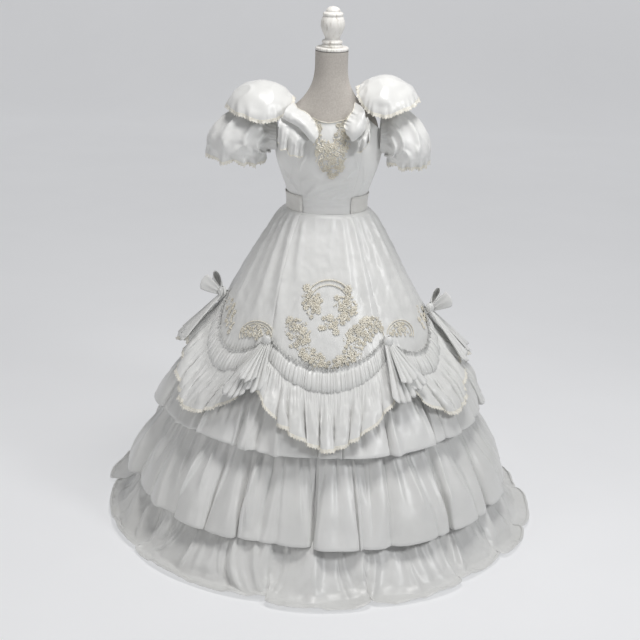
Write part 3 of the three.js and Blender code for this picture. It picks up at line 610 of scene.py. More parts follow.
def edging(soup, hem, down, out, ring, width=13.0, scallop=9.0, ripple=2.2, seed=0, m=0):
    """Lace edging along a hem: a netted strip with a corded top, scalloped points and small picots."""
    _, total = along(hem, ring)
    n = int(total / 2.2)
    L = resample(hem, n, ring)
    # directions come along with the places
    src, _ = along(np.vstack([hem, hem[:1]]) if ring else hem)
    q = np.linspace(0, src[-1], n + 1)[:-1] if ring else np.linspace(0, src[-1], n)
    pick = lambda A: unit(np.stack([np.interp(q, src, (np.vstack([A, A[:1]]) if ring else A)[:, k]) for k in range(3)], -1))
    D, O = pick(down), pick(out)
    k = max(3, round(total / scallop))
    ph = np.linspace(0, k, n, endpoint=not ring)
    lobe = np.abs(np.sin(np.pi * ph)) ** 0.6
    drift = np.sin(2 * np.pi * ph / 3.7 + seed) * 0.6 + np.sin(2 * np.pi * ph / 1.9 + 2 * seed) * 0.4
    rows = []
    for t in (0.0, 0.12, 0.3, 0.55, 0.8, 1.0):
        w = width * t * mix(1, 0.62 + 0.38 * lobe, t)
        cord = 0.9 * math.exp(-((t - 0.12) / 0.1) ** 2) + 0.8 * (1 if t == 0.8 else 0)
        rows.append(L + D * (w - 0.6)[:, None] + O * (0.5 + cord + ripple * t * drift)[:, None])
    soup.grid(np.stack(rows, 1), ring, True, m)
    # picots: one bead at each point
    for c in np.arange(0.5, k, 1.0):
        i = min(n - 1, int(c / k * n))
        bead(soup, rows[-1][i], O[i], D[i], 0.13 * width, m)


_BEAD = None


def bead(soup, p, n, d, r, m):
    """A small half-buried bead on a surface with normal n."""
    global _BEAD
    if _BEAD is None:
        a = np.linspace(0, 2 * np.pi, 7)[:-1]
        v = [(0, 0, 1)] + [(0.75 * np.cos(x), 0.75 * np.sin(x), 0.66) for x in a] + [(np.cos(x), np.sin(x), -0.1) for x in a]
        f = [(0, 1 + k, 1 + (k + 1) % 6) for k in range(6)]
        f += [(1 + k, 7 + k, 7 + (k + 1) % 6) for k in range(6)] + [(1 + k, 7 + (k + 1) % 6, 1 + (k + 1) % 6) for k in range(6)]
        _BEAD = (np.array(v, float), np.array(f))
    e = np.cross(n, d)
    v, f = _BEAD
    soup.add(p + r * (v[:, :1] * d + v[:, 1:2] * e + v[:, 2:] * n), f, m)


def petal(soup, p, n, d, long, wide, tall, m=0):
    """A padded petal or leaf lying on a surface, pointing along d, with a raised cord round it."""
    e = np.cross(n, d)
    t = np.linspace(0, 1, 5)
    w = wide * np.sin(np.pi * t ** 0.8) ** 0.8 + 0.15
    x = np.array([-1.0, -0.72, -0.3, 0.3, 0.72, 1.0])
    hgt = np.array([0.25, 1.0, 0.55, 0.55, 1.0, 0.25]) * tall
    soup.grid(p + (long * t)[:, None, None] * d + (w[:, None] * x[None, :])[..., None] * e + (hgt[None, :] * np.sin(np.pi * t)[:, None] ** 0.4)[..., None] * n, m=m)


def flower(soup, p, n, up, r, petals, seed, m=0, pearl=1):
    """A corded lace flower: petals round a ring of beads."""
    g = np.random.default_rng(seed)
    up = unit(up - n * (up @ n))
    side = np.cross(up, n)
    a0 = g.random() * 6.28
    for k in range(petals):
        a = a0 + 2 * np.pi * k / petals + 0.12 * (g.random() - 0.5)
        d = np.cos(a) * up + np.sin(a) * side
        petal(soup, p + d * r * 0.22, n, d, r * (0.72 + 0.12 * g.random()), r * 1.9 / petals, 3.0, m)
        if k % 2 == 0:
            bead(soup, p + d * r * 0.36 + n * 1.6, n, d, r * 0.10, pearl)
    bead(soup, p + n * 1.0, n, up, r * 0.24, pearl)


def cord(soup, pts, nrm, r=1.2, m=0):
    """A raised cord along points on a surface."""
    pts = np.asarray(pts, float)
    t = unit(np.gradient(pts, axis=0))
    e = unit(np.cross(nrm, t))
    a = np.linspace(0, 2 * np.pi, 6)[:-1]
    ring = pts[:, None] + r * (np.cos(a)[None, :, None] * e[:, None] + (0.6 + np.sin(a))[None, :, None] * nrm[:, None])
    soup.grid(ring.transpose(1, 0, 2), True, m=m)


for s_ in SWAGS:
    P = HEM_LINES[s_[0]]
    N = normals(P)
    N *= np.sign((N * (P * np.array([1, 1, 0]))).sum(-1).mean())
    s = Soup()
    edging(s, P[:, -1], unit(P[:, -1] - P[:, -3]), N[:, -1], False, seed=s_[1] * 0.1)
    ob = piece("swag_edging_%s_lace" % s_[0], s, [EDGE_LACE, PEARL], ["swag_edging_" + s_[0]])
    fl, wide, long = HEM_LINES[s_[0] + "_piece"]

# ------------------------------------------------------------------ bows
def ribbon(soup, spine, across, wide, wave=0.0, waves=0.0, fold=0.0, n=60, m=11, m_i=0):
    """A strip of satin along a spine: its edges along across, its cross-section pleated."""
    spine, across = resample(np.asarray(spine, float), n), np.asarray(across, float)
    t = np.linspace(0, 1, n)
    A = unit(np.stack([np.interp(t, np.linspace(0, 1, len(across)), across[:, k]) for k in range(3)], -1))
    T = unit(np.gradient(spine, axis=0))
    N = unit(np.cross(T, A))
    x = np.linspace(-1, 1, m)
    w = np.interp(t, np.linspace(0, 1, len(wide)), wide)
    h = fold * np.cos(np.pi * waves * x)[None, :] * w[:, None] / max(wide) + wave * np.sin(7 * t)[:, None] * x[None, :]
    soup.grid(spine[:, None] + (w[:, None] * x[None, :])[..., None] * A[:, None] + h[..., None] * N[:, None], m=m_i)


BOWS = [("front_left", -28, 668, False, -14), ("front_right", 34, 670, False, 10), ("side_right", 80, 705, True, 0), ("back", 180, 690, True, 0), ("side_left", 280, 735, True, 0)]
STAND = 42.0
for name, at, zk, loops, lean in BOWS:
    s = Soup()
    mid = around(SKIRT, at, zk, STAND + 4)
    o = unit(around(SKIRT, at, zk, 1) - around(SKIRT, at, zk, 0))
    e = np.array([-o[1], o[0], 0])
    if e @ np.array([math.cos(math.radians(at)), math.sin(math.radians(at)), 0]) < 0:
        e = -e
    up = np.array([0, 0, 1.0])
    place = lambda x, y, q: mid + x * e + y * o + q * up
    # the pleated fan, or pair of tails, below the knot
    def fan(x0, x1, length, half, pleats, deep, seed, lift=54.0, round_it=0.16):
        n, m = 16 * pleats + 1, 22
        uu, tt = np.linspace(-1, 1, n)[:, None], np.linspace(0.02, 1, m)[None, :]
        rr = np.random.default_rng(seed)
        ph = np.cumsum(np.concatenate([[0], 1 + 0.5 * (rr.random(n - 1) - 0.5)]))
        ph = ph / ph[-1] * pleats
        tri = np.abs(((ph + 0.25) % 1) - 0.5) * 4 - 1
        prof = np.sign(tri) * np.abs(tri) ** 0.8
        zz = zk - 4 - length * tt * (1 - round_it * uu * uu) + 3 * np.sin(9 * uu + seed)
        across = half * uu * mix(0.16, 1, tt ** 0.9) + mix(x0, x1, tt)
        base = SKIRT(zz)[..., 1] + STAND
        zig = deep * prof[:, None] * mix(0.5, 1, tt)
        sway = 0.35 * deep * np.cos(2 * np.pi * ph)[:, None] * tt
        deg = at + np.degrees((across + sway) / base)
        return around(SKIRT, deg, zz, STAND + lift * tt ** 0.9 + zig)
    if loops:
        s.grid(fan(-4, -30, 150, 26, 3, 6, 1))
        s.grid(fan(4, 26, 138, 26, 3, 6, 2, lift=58))
        for side in (-1, 1):
            a = np.linspace(0.12, 2 * np.pi - 0.12, 64)
            far = 0.5 - 0.5 * np.cos(a)
            x = np.linspace(-1, 1, 15)
            tall = (9 + 21 * far ** 0.8)[:, None] * x[None, :] + (14 * far)[:, None]
            pl = 3.0 * np.cos(np.pi * 2.5 * x)[None, :] * (1 - far)[:, None]
            X = side * (6 + 78 * far)[:, None] - side * 9 * (x[None, :] ** 2) * far[:, None]
            Y = (3 + 12 * far + 15 * np.sin(a) * np.sqrt(far + 0.05))[:, None] + pl + 2 * np.sin(3 * x + a[:, None])
            if name.startswith("side") and side == (1 if name == "side_left" else -1):
                d = unit(0.85 * o + 0.42 * up)
                w_ = unit(up - d * (up @ d))
                s.grid(mid + np.abs(X)[..., None] * 0.9 * d + ((Y - 16) * 0.45 * side)[..., None] * e + (0.85 * tall - 6)[..., None] * w_)
            else:
                s.grid(mid + X[..., None] * e + Y[..., None] * o + tall[..., None] * up)
    else:
        s.grid(fan(-6, -26 + lean, 146, 34, 4, 7, 3))
        s.grid(fan(8, 26 + lean, 118, 26, 3, 7, 4, lift=50))
        s.grid(fan(0, lean * 0.5, 92, 24, 3, 6, 5, lift=62))
    # the knot: a strip wrapped over the middle, drawn in at its sides
    h, a = np.linspace(-1, 1, 25)[:, None], np.linspace(0, 2 * np.pi, 40, endpoint=False)[None, :]
    w = np.sqrt(np.maximum(0.02, 1 - 0.92 * h * h))
    crease = 1 + 0.10 * np.sin(5 * a + 3 * h)
    s.grid(mid + (14 * w * crease * np.cos(a))[..., None] * e + (12 * w * crease * np.sin(a))[..., None] * o + (17 * h + 0 * a)[..., None] * up)
    ob = piece("bow_%s_satin" % name, s, [SATIN], ["bow_" + name], wall=0.7)

# ------------------------------------------------------------------ bodice
NECK = Table([(0, 1290), (18, 1296), (38, 1308), (52, 1302), (66, 1276), (90, 1246), (114, 1252), (128, 1272), (146, 1286), (180, 1276)])
BODICE = 6.0


def neck_z(deg):
    return NECK(np.abs((deg + 540) % 360 - 180))[..., 0]


# Folds drawn across the bodice: from and to (angle, height), width and height.
BODICE_FOLDS = [
    (-34, 1052, 34, 1100, 7, 4.5), (-32, 1040, 36, 1058, 6, 4), (-30, 1066, 20, 1112, 7, 3.5), (-22, 1086, 34, 1132, 8, 3.5), (6, 1062, 36, 1080, 6, 3),
    (-36, 1030, 30, 1036, 7, 3), (-36, 1100, -10, 1128, 9, 3), (20, 1120, 36, 1160, 9, 3), (-44, 1070, -62, 1120, 10, 2.5), (46, 1070, 64, 1124, 10, 2.5),
    (-52, 1095, -40, 1160, 9, 2), (52, 1090, 42, 1160, 9, 2), (-34, 1140, -24, 1190, 9, 2.5), (34, 1150, 26, 1200, 9, 2),
    (110, 1070, 150, 1090, 10, 2.5), (205, 1064, 250, 1096, 10, 2.5), (160, 1040, 200, 1046, 9, 2), (100, 1120, 130, 1150, 12, 2)]


def bodice_out(deg, z):
    d = (deg + 180) % 360 - 180
    out = np.full(np.broadcast(deg, z).shape, BODICE)
    for a0, z0, a1, z1, w, h in BODICE_FOLDS:
        dd = np.where(np.broadcast_to(d, out.shape) < -100, d + 360, d) if a1 > 180 else d
        k = (dd - a0) / (a1 - a0)
        line = mix(z0, z1, np.clip(k, 0, 1)) + 5 * np.sin(np.pi * np.clip(k, 0, 1))
        fade = smooth(-0.12, 0.15, k) * (1 - smooth(0.8, 1.12, k))
        x = (z - line) / w
        out = out + 1.5 * h * fade * np.exp(-np.where(x > 0, x * 0.8, x * 1.7) ** 2)
    return out


PANELS = [("front_centre", -37, 37), ("front_right", 37, 90), ("back_right", 90, 180), ("back_left", 180, 270), ("front_left", 270, 323)]
BODICE_GRIDS = {}
for name, a0, a1 in PANELS:
    n, m = int((a1 - a0) * 1.1) + 1, 84
    a = np.linspace(a0, a1, n)[:, None]
    v = np.linspace(0, 1, m)[None, :]
    zz = mix(1000.0, neck_z(a), v)
    P = around(FORM, a, zz, bodice_out(a, zz))
    N = normals(P)
    N *= np.sign((N * (P * np.array([1, 1, 0]))).sum(-1, keepdims=True))
    edge = np.minimum(np.abs(a - a0), np.abs(a - a1)) * np.pi / 180 * 130
    lip = 1.0 * np.exp(-((1 - v) * 60) ** 2)
    P = P + N * (0.9 * fbm(P / 40, 31, 3) - 1.1 * np.exp(-(edge / 2.5) ** 2) + lip)[..., None]
    BODICE_GRIDS[name] = P
    s = Soup()
    s.grid(rolled(P, deep=5, side=1 if (normals(P)[n // 2, m // 2] @ N[n // 2, m // 2]) > 0 else -1))
    ob = piece("bodice_%s_satin" % name, s, [SATIN], ["bodice_" + name])
    BODICE_GRIDS[name + "_piece"] = ob
for name, a0, a1 in (("right", 37, 180), ("left", 180, 323)):
    n, m = 160, 18
    a = np.linspace(a0, a1, n)[:, None]
    v = np.linspace(-1, 1, m)[None, :]
    front = a0 if a0 == 37 else a1
    near = np.abs(a - front) * np.pi / 180 * 118
    zz = 1032 + 25.5 * v + 0 * a
    tuck = sum(1.6 * np.exp(-(((zz - zc) - 0.06 * near) / 2.6) ** 2) for zc in (1016, 1025, 1034, 1043, 1051)) * (1 - smooth(4, 34, near))
    P = around(FORM, a, zz, BODICE + 1.4 + (2.9 * (1 - np.abs(v) ** 8) + tuck + 0.5 * np.sin(near / 11)) * smooth(-1, 7, near))
    P = P + 0.8 * fbm(P / 22, 41, 2)[..., None] * unit(P * np.array([1, 1, 0]))
    s = Soup()
    s.grid(P)
    # piping along the upper edge
    top = P[:, -1] + unit(P[:, -1] * np.array([1, 1, 0])) * 0.6
    cord(s, top, unit(P[:, -1] * np.array([1, 1, 0])), 1.5)
    ob = piece("belt_%s_satin" % name, s, [SATIN_DULL], ["belt_" + name])

# ------------------------------------------------------------------ sleeves, shoulder flounces, neck ruffles
SLEEVE = Table([(0, 0, 1236, 2, 62, 52), (1, 27, 1250, 14, 90, 70), (2, 62, 1236, 42, 106, 76), (3, 86, 1212, 68, 108, 84), (4, 94, 1186, 80, 104, 82), (5, 96, 1164, 84, 92, 72)])
# The neck ruffles, rows of points from the edge at the neck over the roll to the hanging edge.
RUFFLES = {
    "left": [
        [(-111, -56, 1338), (-95, -84, 1327), (-70, -102, 1317), (-49, -118, 1300), (-35, -130, 1277), (-31, -135, 1260)],
        [(-129, -106, 1330), (-108, -126, 1319), (-83, -140, 1306), (-63, -150, 1288), (-45, -154, 1268), (-36, -150, 1254)],
        [(-144, -120, 1306), (-124, -127, 1299), (-104, -132, 1290), (-85, -138, 1278), (-66, -143, 1262), (-52, -143, 1247)],
        [(-150, -130, 1268), (-135, -138, 1264), (-120, -145, 1255), (-103, -150, 1246), (-86, -152, 1239), (-72, -149, 1235)],
        [(-152, -126, 1227), (-139, -138, 1219), (-124, -147, 1213), (-107, -151, 1202), (-90, -153, 1199), (-75, -149, 1196)]],
    "right": [
        [(76, -60, 1346), (70, -88, 1327), (60, -106, 1315), (51, -121, 1301), (45, -131, 1286), (48, -135, 1270)],
        [(98, -108, 1338), (93, -125, 1321), (86, -138, 1307), (76, -148, 1293), (65, -152, 1277), (58, -148, 1263)],
        [(111, -119, 1316), (112, -126, 1301), (108, -132, 1287), (100, -138, 1273), (88, -142, 1262), (74, -142, 1256)],
        [(120, -126, 1290), (118, -133, 1275), (114, -140, 1265), (108, -145, 1253), (98, -146, 1244), (87, -143, 1237)],
        [(122, -124, 1261), (120, -133, 1250), (115, -140, 1240), (106, -145, 1229), (96, -146, 1220), (86, -143, 1213)]]}
PUFF = dict(z=1316, deep=112, tall=82, drop=12)
SIDES = [("left", -1, 170, 1.15, 207, 104, -9, 26, 14), ("right", 1, 166, 0.82, 168, 100, 18, 36, 20)]
# Soft folds of a sleeve: (turn, way down) from and to, width and height. A turn of 0.25 is the top and 0.5 is the front.
SLEEVE_FOLDS = [
    (0.30, 0.4, 0.44, 3.6, 0.030, 9), (0.40, 0.5, 0.56, 3.2, 0.026, 8), (0.48, 0.4, 0.66, 3.4, 0.028, 8), (0.56, 0.5, 0.60, 2.2, 0.022, 6), (0.22, 0.5, 0.30, 3.0, 0.03, 8),
    (0.12, 0.6, 0.16, 3.4, 0.03, 8), (0.02, 0.5, 0.06, 3.2, 0.03, 7), (0.92, 0.5, 0.94, 3.4, 0.03, 8), (0.82, 0.6, 0.80, 3.2, 0.03, 7), (0.72, 0.5, 0.72, 3.3, 0.03, 7),
    (0.36, 2.6, 0.33, 4.0, 0.018, 5), (0.52, 2.5, 0.50, 4.0, 0.018, 6), (0.62, 2.6, 0.60, 4.0, 0.016, 5), (0.44, 2.9, 0.44, 4.0, 0.014, 5)]
for name, sign, arm, spread_, puff_x, puff_w, lift, neck_cut, outer_cut in SIDES:
    n, m = 150, 56
    turn = np.linspace(0, 1, n, endpoint=False)[:, None]
    v = np.linspace(0, 5, m)[None, :]
    row = SLEEVE(v)
    x0, z0, tilt, deep, tall = (row[..., k] for k in range(5))
    a = 2 * np.pi * turn
    f, h = gathers(turn[:, 0] * 560, 560.0, 15.0, 900 + sign, 0.5)
    ruche = (h * (0.5 - 0.5 * np.cos(2 * np.pi * f)))[:, None]
    f3, h3 = gathers(turn[:, 0] * 560, 560.0, 52.0, 930 + sign, 0.5, 0.5)
    wave = (h3 * np.cos(2 * np.pi * f3))[:, None]
    frill = smooth(4.05, 5, v)
    cuff = np.exp(-((v - 4.02) / 0.32) ** 2)
    head = np.exp(-(v / 0.7) ** 2)
    out = 2.0 * ruche * cuff + 2.2 * ruche * head + frill * (10 * wave + 2 * ruche)
    for t0, v0, t1, v1, w, hh in SLEEVE_FOLDS:
        k = np.clip((v - v0) / (v1 - v0), 0, 1)
        off = (turn - mix(t0, t1, k) + 0.5) % 1 - 0.5
        hh = 1.35 * hh
        out = out + hh * np.exp(-(off / (w * (0.5 + 0.5 * k))) ** 2) * smooth(v0 - 0.3, v0 + 0.5, v) * (1 - smooth(v1 - 0.8, v1 + 0.3, v)) - hh * 0.25 * np.exp(-(off / (3 * w)) ** 2) * smooth(v0 - 0.3, v0 + 0.5, v) * (1 - smooth(v1 - 0.8, v1 + 0.3, v))
    tl = np.radians(tilt)
    upw = (tall + out) * np.sin(a)
    fall = frill * (10 * (h3 - 0.5)[:, None] + 7 * noise3(np.stack([np.cos(a) * 2, np.sin(a) * 2, 0 * a + sign], -1), 77))
    X = arm + spread_ * (x0 + upw * np.sin(tl))
    Y = (deep + out) * np.cos(a)
    Z = z0 + upw * np.cos(tl) - fall
    X = X - 12 * np.exp(-(v / 0.22) ** 2)
    P = np.stack(np.broadcast_arrays(sign * X, Y, Z), -1)
    N = normals(P, True)
    centre = P.mean(0, keepdims=True)
    N *= np.sign((N * (P - centre)).sum(-1).mean())
    P = P + N * (2.4 * fbm(P / 46, 61 + sign, 3) * smooth(0.1, 0.8, v) * (1 - frill))[..., None]
    s = Soup()
    s.grid(P, True, flip=sign > 0)
    ob = piece("sleeve_%s_satin" % name, s, [SATIN], ["sleeve_" + name])
    s = Soup()
    edging(s, P[:, -1], unit(P[:, -1] - P[:, -4]), N[:, -1], True, width=13, seed=sign)
    lace = piece("sleeve_edging_%s_lace" % name, s, [EDGE_LACE, PEARL], ["sleeve_edging_" + name])

    # the shoulder flounce: a stiff puffed cap with soft facets and a frilled lace edge
    n, m = 160, 44
    a = np.linspace(0, 2 * np.pi, n, endpoint=False)[:, None]
    t = np.linspace(0.012, 1, m)[None, :]

    def dome(a, t):
        neck = np.maximum(0, -np.cos(a)) ** 3
        lat = np.radians((90 - neck_cut * neck - outer_cut * np.maximum(0, np.cos(a))) * t)
        fall = PUFF["drop"] * t * t * (1 - neck) * (0.5 + 0.5 * np.abs(np.sin(a)))
        return np.stack(np.broadcast_arrays(sign * (puff_x + puff_w * np.sin(lat) * np.cos(a)), PUFF["deep"] * np.sin(lat) * np.sin(a), PUFF["z"] + lift + PUFF["tall"] * np.cos(lat) - fall), -1)

    P = dome(a, t)
    N = normals(P, True)
    N *= np.sign((N * (P - P.mean((0, 1)))).sum(-1).mean())
    f, h = gathers(a[:, 0] / (2 * np.pi) * 680, 680.0, 27.0, 950 + sign, 0.6, 0.2)
    wave = (h * np.cos(2 * np.pi * f))[:, None] * smooth(0.72, 1, t)
    facet = np.abs(fbm(P / 70, 83 + sign, 2))
    P = P + N * (3.2 * wave - 7.0 * facet * smooth(0.0, 0.4, t) * (1 - 0.6 * smooth(0.8, 1, t)) + 2.5)[..., None]
    P[..., 2] += (4 * smooth(0.8, 1, t) * noise3(np.stack([np.cos(a) * 2.4, np.sin(a) * 2.4, 0 * a + 5], -1), 87))
    s = Soup()
    s.grid(P, True, flip=sign > 0)
    ob = piece("shoulder_flounce_%s_satin" % name, s, [SATIN], ["shoulder_flounce_" + name])
    s = Soup()
    edging(s, P[:, -1], unit(P[:, -1] - P[:, -4]), N[:, -1], True, width=12, scallop=10, ripple=3.0, seed=2 * sign)
    lace = piece("shoulder_edging_%s_lace" % name, s, [EDGE_LACE, PEARL], ["shoulder_edging_" + name])

    # the neck ruffle: its upper half rolls out over the half that hangs below
    rows = np.array(RUFFLES[name], float)
    n, m = 80, 64
    wide_t = Table([(k, *rows[k].ravel()) for k in range(5)])
    w = np.linspace(0, 4, m)
    G = wide_t(w).reshape(m, 6, 3)
    P = np.stack([Table([(k, *G[j, k]) for k in range(6)])(np.linspace(0, 5, n)) for j in range(m)], 1)
    u, w = np.linspace(0, 1, n)[:, None], w[None, :]
    roll = np.exp(-((w - 1.35) / 0.45) ** 2)
    under = np.exp(-((w - 2.05) / 0.32) ** 2)
    P[..., 1] += -9 * roll + 13 * under
    P[..., 2] += -13 * np.exp(-((w - 1.6) / 0.3) ** 2)
    hang = smooth(2.2, 4, w)
    P[..., 1] += hang * (9 * np.sin(2 * np.pi * (2.4 * u + 0.2)) + 3 * np.sin(2 * np.pi * 5.3 * u))
    P[..., 2] += hang * 4 * np.sin(2 * np.pi * 3.1 * u + 1)
    rim = smooth(0.7, 0, w)
    P[..., 1] += rim * (4 * np.sin(2 * np.pi * 3.2 * u) + 2 * np.sin(2 * np.pi * 7 * u))
    N = normals(P)
    N *= np.sign(-N[..., 1].mean())
    P = P + N * (1.8 * fbm(P / 20, 97 + sign, 2))[..., None]
    s = Soup()
    s.grid(P)
    for line, nxt in ((P[:, 0], P[:, 3]), (P[:, -1], P[:, -4])):
        edging(s, line, unit(line - nxt), N[:, 0], False, width=5, scallop=6, ripple=0.8, seed=3 + sign, m=1)
    ob = piece("neck_ruffle_%s_satin" % name, s, [SATIN, EDGE_LACE], ["neck_ruffle_" + name])

# ------------------------------------------------------------------ lace motifs
CAM_AT, PITCH, ROLL, FOCAL = np.array([-9.0, -4200.0, 2178.0]), math.radians(20.2), math.radians(1.9), 1408.0


def project(P):
    """Where points fall in the picture, in its pixels."""
    d = P - CAM_AT
    fwd, right = np.array([0, math.cos(PITCH), -math.sin(PITCH)]), np.array([1.0, 0, 0])
    up = np.cross(right, fwd)
    X, Y, Z = d @ right, d @ up, d @ fwd
    u, v = X / Z * FOCAL, -Y / Z * FOCAL
    c, s = math.cos(ROLL), math.sin(ROLL)
    return np.stack([320 + c * u - s * v, 320 + s * u + c * v], -1)


class Cloth:
    """Finds places on a grid of cloth as the picture shows them."""

    def __init__(self, P):
        self.P = P
        N = normals(P)
        self.N = N * np.sign((N * (P * np.array([1, 1, 0]))).sum(-1, keepdims=True))
        self.uv = project(P)

    def at(self, x, y):
        d = ((self.uv - np.array([x, y])) ** 2).sum(-1)
        i, j = np.unravel_index(np.argmin(d), d.shape)
        i0, j0 = min(max(i, 1), self.P.shape[0] - 2), min(max(j, 1), self.P.shape[1] - 2)
        J = np.stack([(self.uv[i0 + 1, j0] - self.uv[i0 - 1, j0]) / 2, (self.uv[i0, j0 + 1] - self.uv[i0, j0 - 1]) / 2], 1)
        try:
            k = np.clip(np.linalg.solve(J, np.array([x, y]) - self.uv[i0, j0]), -1.5, 1.5)
        except np.linalg.LinAlgError:
            k = np.zeros(2)
        p = self.P[i0, j0] + k[0] * (self.P[i0 + 1, j0] - self.P[i0 - 1, j0]) / 2 + k[1] * (self.P[i0, j0 + 1] - self.P[i0, j0 - 1]) / 2
        n = self.N[i0, j0]
        return p + n * 1.2, n


UP = np.array([0, 0, 1.0])


def sprig(soup, cloth, x, y, r, kind, seed):
    """One motif at a place: a flower, a round daisy, a leaf pair or a cluster of beads. r is in pixels, about 3.1 mm each."""
    p, n = cloth.at(x, y)
    R = r * 3.1
    if kind == "f":
        flower(soup, p, n, UP, R, 6, seed)
    elif kind == "d":
        flower(soup, p, n, UP, R, 9, seed)
    elif kind == "l":
        g = np.random.default_rng(seed)
        up = unit(UP - n * (UP @ n))
        side = np.cross(up, n)
        for k in range(3):
            a = g.random() * 6.28
            d = np.cos(a) * up + np.sin(a) * side
            petal(soup, p, n, d, R * (0.9 + 0.4 * g.random()), R * 0.34, 2.8)
        bead(soup, p + n, n, up, 2.2, 1)
    else:
        g = np.random.default_rng(seed)
        up = unit(UP - n * (UP @ n))
        side = np.cross(up, n)
        for k in range(6):
            a, q = g.random() * 6.28, R * math.sqrt(g.random())
            bead(soup, p + q * (np.cos(a) * up + np.sin(a) * side), n, up, 1.5 + 0.9 * g.random(), int(g.random() < 0.5))


def scatter(soup, cloth, poly, step, r, seed, kinds="ffdlb"):
    """Fills an outline with motifs, evenly but not in rows."""
    g = np.random.default_rng(seed)
    poly = np.array(poly, float)
    lo, hi = poly.min(0), poly.max(0)
    k = 0
    for yy in np.arange(lo[1], hi[1] + step, step * 0.88):
        for xx in np.arange(lo[0] + (k % 2) * step / 2, hi[0] + step, step):
            x, y = xx + step * 0.32 * (g.random() - 0.5), yy + step * 0.32 * (g.random() - 0.5)
            inside = False
            for (x0, y0), (x1, y1) in zip(poly, np.roll(poly, -1, 0)):
                if (y0 > y) != (y1 > y) and x < (x1 - x0) * (y - y0) / (y1 - y0) + x0:
                    inside = not inside
            if inside:
                sprig(soup, cloth, x, y, r * (0.75 + 0.5 * g.random()), kinds[int(g.random() * len(kinds))], int(g.integers(1e6)))
        k += 1


def scroll(soup, cloth, pts, r=1.3, beads=0):
    pts = np.array(pts, float)
    s_, _ = along(np.column_stack([pts, 0 * pts[:, 0]]))
    q = np.linspace(0, s_[-1], max(8, int(s_[-1] * 1.5)))
    xy = np.stack([np.interp(q, s_, pts[:, 0]), np.interp(q, s_, pts[:, 1])], -1)
    got = [cloth.at(*c) for c in xy]
    p, n = np.array([g[0] for g in got]), np.array([g[1] for g in got])
    for _ in range(2):
        p[1:-1] = (p[:-2] + 2 * p[1:-1] + p[2:]) / 4
    cord(soup, p, n, r)
    if beads:
        L = resample(p, max(2, int(along(p)[1] / beads)))
        for c in L:
            k = np.argmin(((p - c) ** 2).sum(1))
            bead(soup, c + n[k] * 1.6, n[k], UP, 1.7, 1)


def arc(cx, cy, rx, ry, a0, a1, n=24):
    a = np.radians(np.linspace(a0, a1, n))
    return np.stack([cx + rx * np.cos(a), cy - ry * np.sin(a)], -1)


front = Cloth(OVER_GRIDS["front"])
left = Cloth(OVER_GRIDS["left"])
right = Cloth(OVER_GRIDS["right"])

s = Soup()  # two hanging clusters under an arch, and a loose spray below
scroll(s, front, arc(329, 299, 22, 19, 22, 160), 2.0, 7)
scroll(s, front, arc(329, 302, 19, 17, 25, 155), 1.6, 9)
for x, y, r in ((307, 288, 4.6), (348, 289, 4.8)):
    sprig(s, front, x, y, r, "d", int(x))
scatter(s, front, [(303, 293), (318, 292), (322, 303), (319, 314), (309, 318), (302, 308)], 4.6, 2.7, 21)
scatter(s, front, [(335, 296), (351, 294), (359, 305), (357, 316), (348, 320), (336, 312)], 4.6, 2.7, 22)
scatter(s, front, [(324, 316), (340, 314), (347, 320), (345, 326), (331, 328), (322, 334)], 5.0, 2.8, 23)
for x, y, r, k in ((330, 318, 4.4, "d"), (336, 332, 4.0, "d"), (344, 317, 3.6, "f"), (321, 328, 3.4, "f")):
    sprig(s, front, x, y, r, k, int(x * y))
crown = piece("skirt_lace_crown_motif", s, [LACE, PEARL], ["skirt_lace_crown"])

s = Soup()  # a garland hanging in a bow from knot to knot
scatter(s, front, [(284, 320), (298, 316), (309, 330), (308, 344), (322, 354), (330, 364), (326, 371), (312, 368), (300, 356), (290, 344)], 4.8, 2.8, 31)
scatter(s, front, [(346, 334), (356, 324), (366, 314), (378, 318), (384, 328), (374, 336), (362, 348), (360, 358), (348, 366), (334, 370), (332, 360), (344, 350)], 4.8, 2.8, 32)
for x, y, r in ((290, 320, 4.4), (303, 331, 4.4), (306, 358, 4.2), (367, 320, 4.8), (351, 339, 4.2), (340, 359, 4.4), (322, 364, 4.0), (359, 330, 3.8)):
    sprig(s, front, x, y, r, "d", int(x + y))
scroll(s, front, [(372, 316), (380, 322), (386, 330), (388, 336)], 1.4, 7)
garland = piece("skirt_lace_garland_motif", s, [LACE, PEARL], ["skirt_lace_garland"])


def shell(soup, cloth, cx, cy, rx, ry, a0, a1, seed):
    """A fan of lace: scrolls round its edge and sprigs within."""
    for k in (1.0, 0.84):
        scroll(soup, cloth, arc(cx, cy, rx * k, ry * k, a0, a1), 1.4, 8 if k == 1 else 0)
    pts = [(cx + 0.78 * rx * math.cos(math.radians(a)), cy - 0.78 * ry * math.sin(math.radians(a))) for a in np.linspace(a0, a1, 9)]
    scatter(soup, cloth, pts + [(cx, cy + 3)], 4.2, 2.4, seed, "lfbd")


s = Soup()
shell(s, left, 257, 336, 17, 15, -5, 190, 41)
scatter(s, left, [(240, 328), (250, 326), (252, 336), (242, 337)], 4.4, 2.4, 42)
scatter(s, left, [(227, 300), (235, 296), (236, 314), (233, 332), (226, 334)], 4.6, 2.6, 43)
lace_left = piece("skirt_lace_left_motif", s, [LACE, PEARL], ["skirt_lace_left"])
s = Soup()
shell(s, right, 400, 334, 13, 14, -10, 180, 44)
scatter(s, right, [(417, 308), (424, 308), (430, 318), (428, 330), (420, 328)], 4.6, 2.6, 45)
lace_right = piece("skirt_lace_right_motif", s, [LACE, PEARL], ["skirt_lace_right"])
for s_ in SWAGS:
    ob, width = OVER_GRIDS[s_[0] + "_piece"]

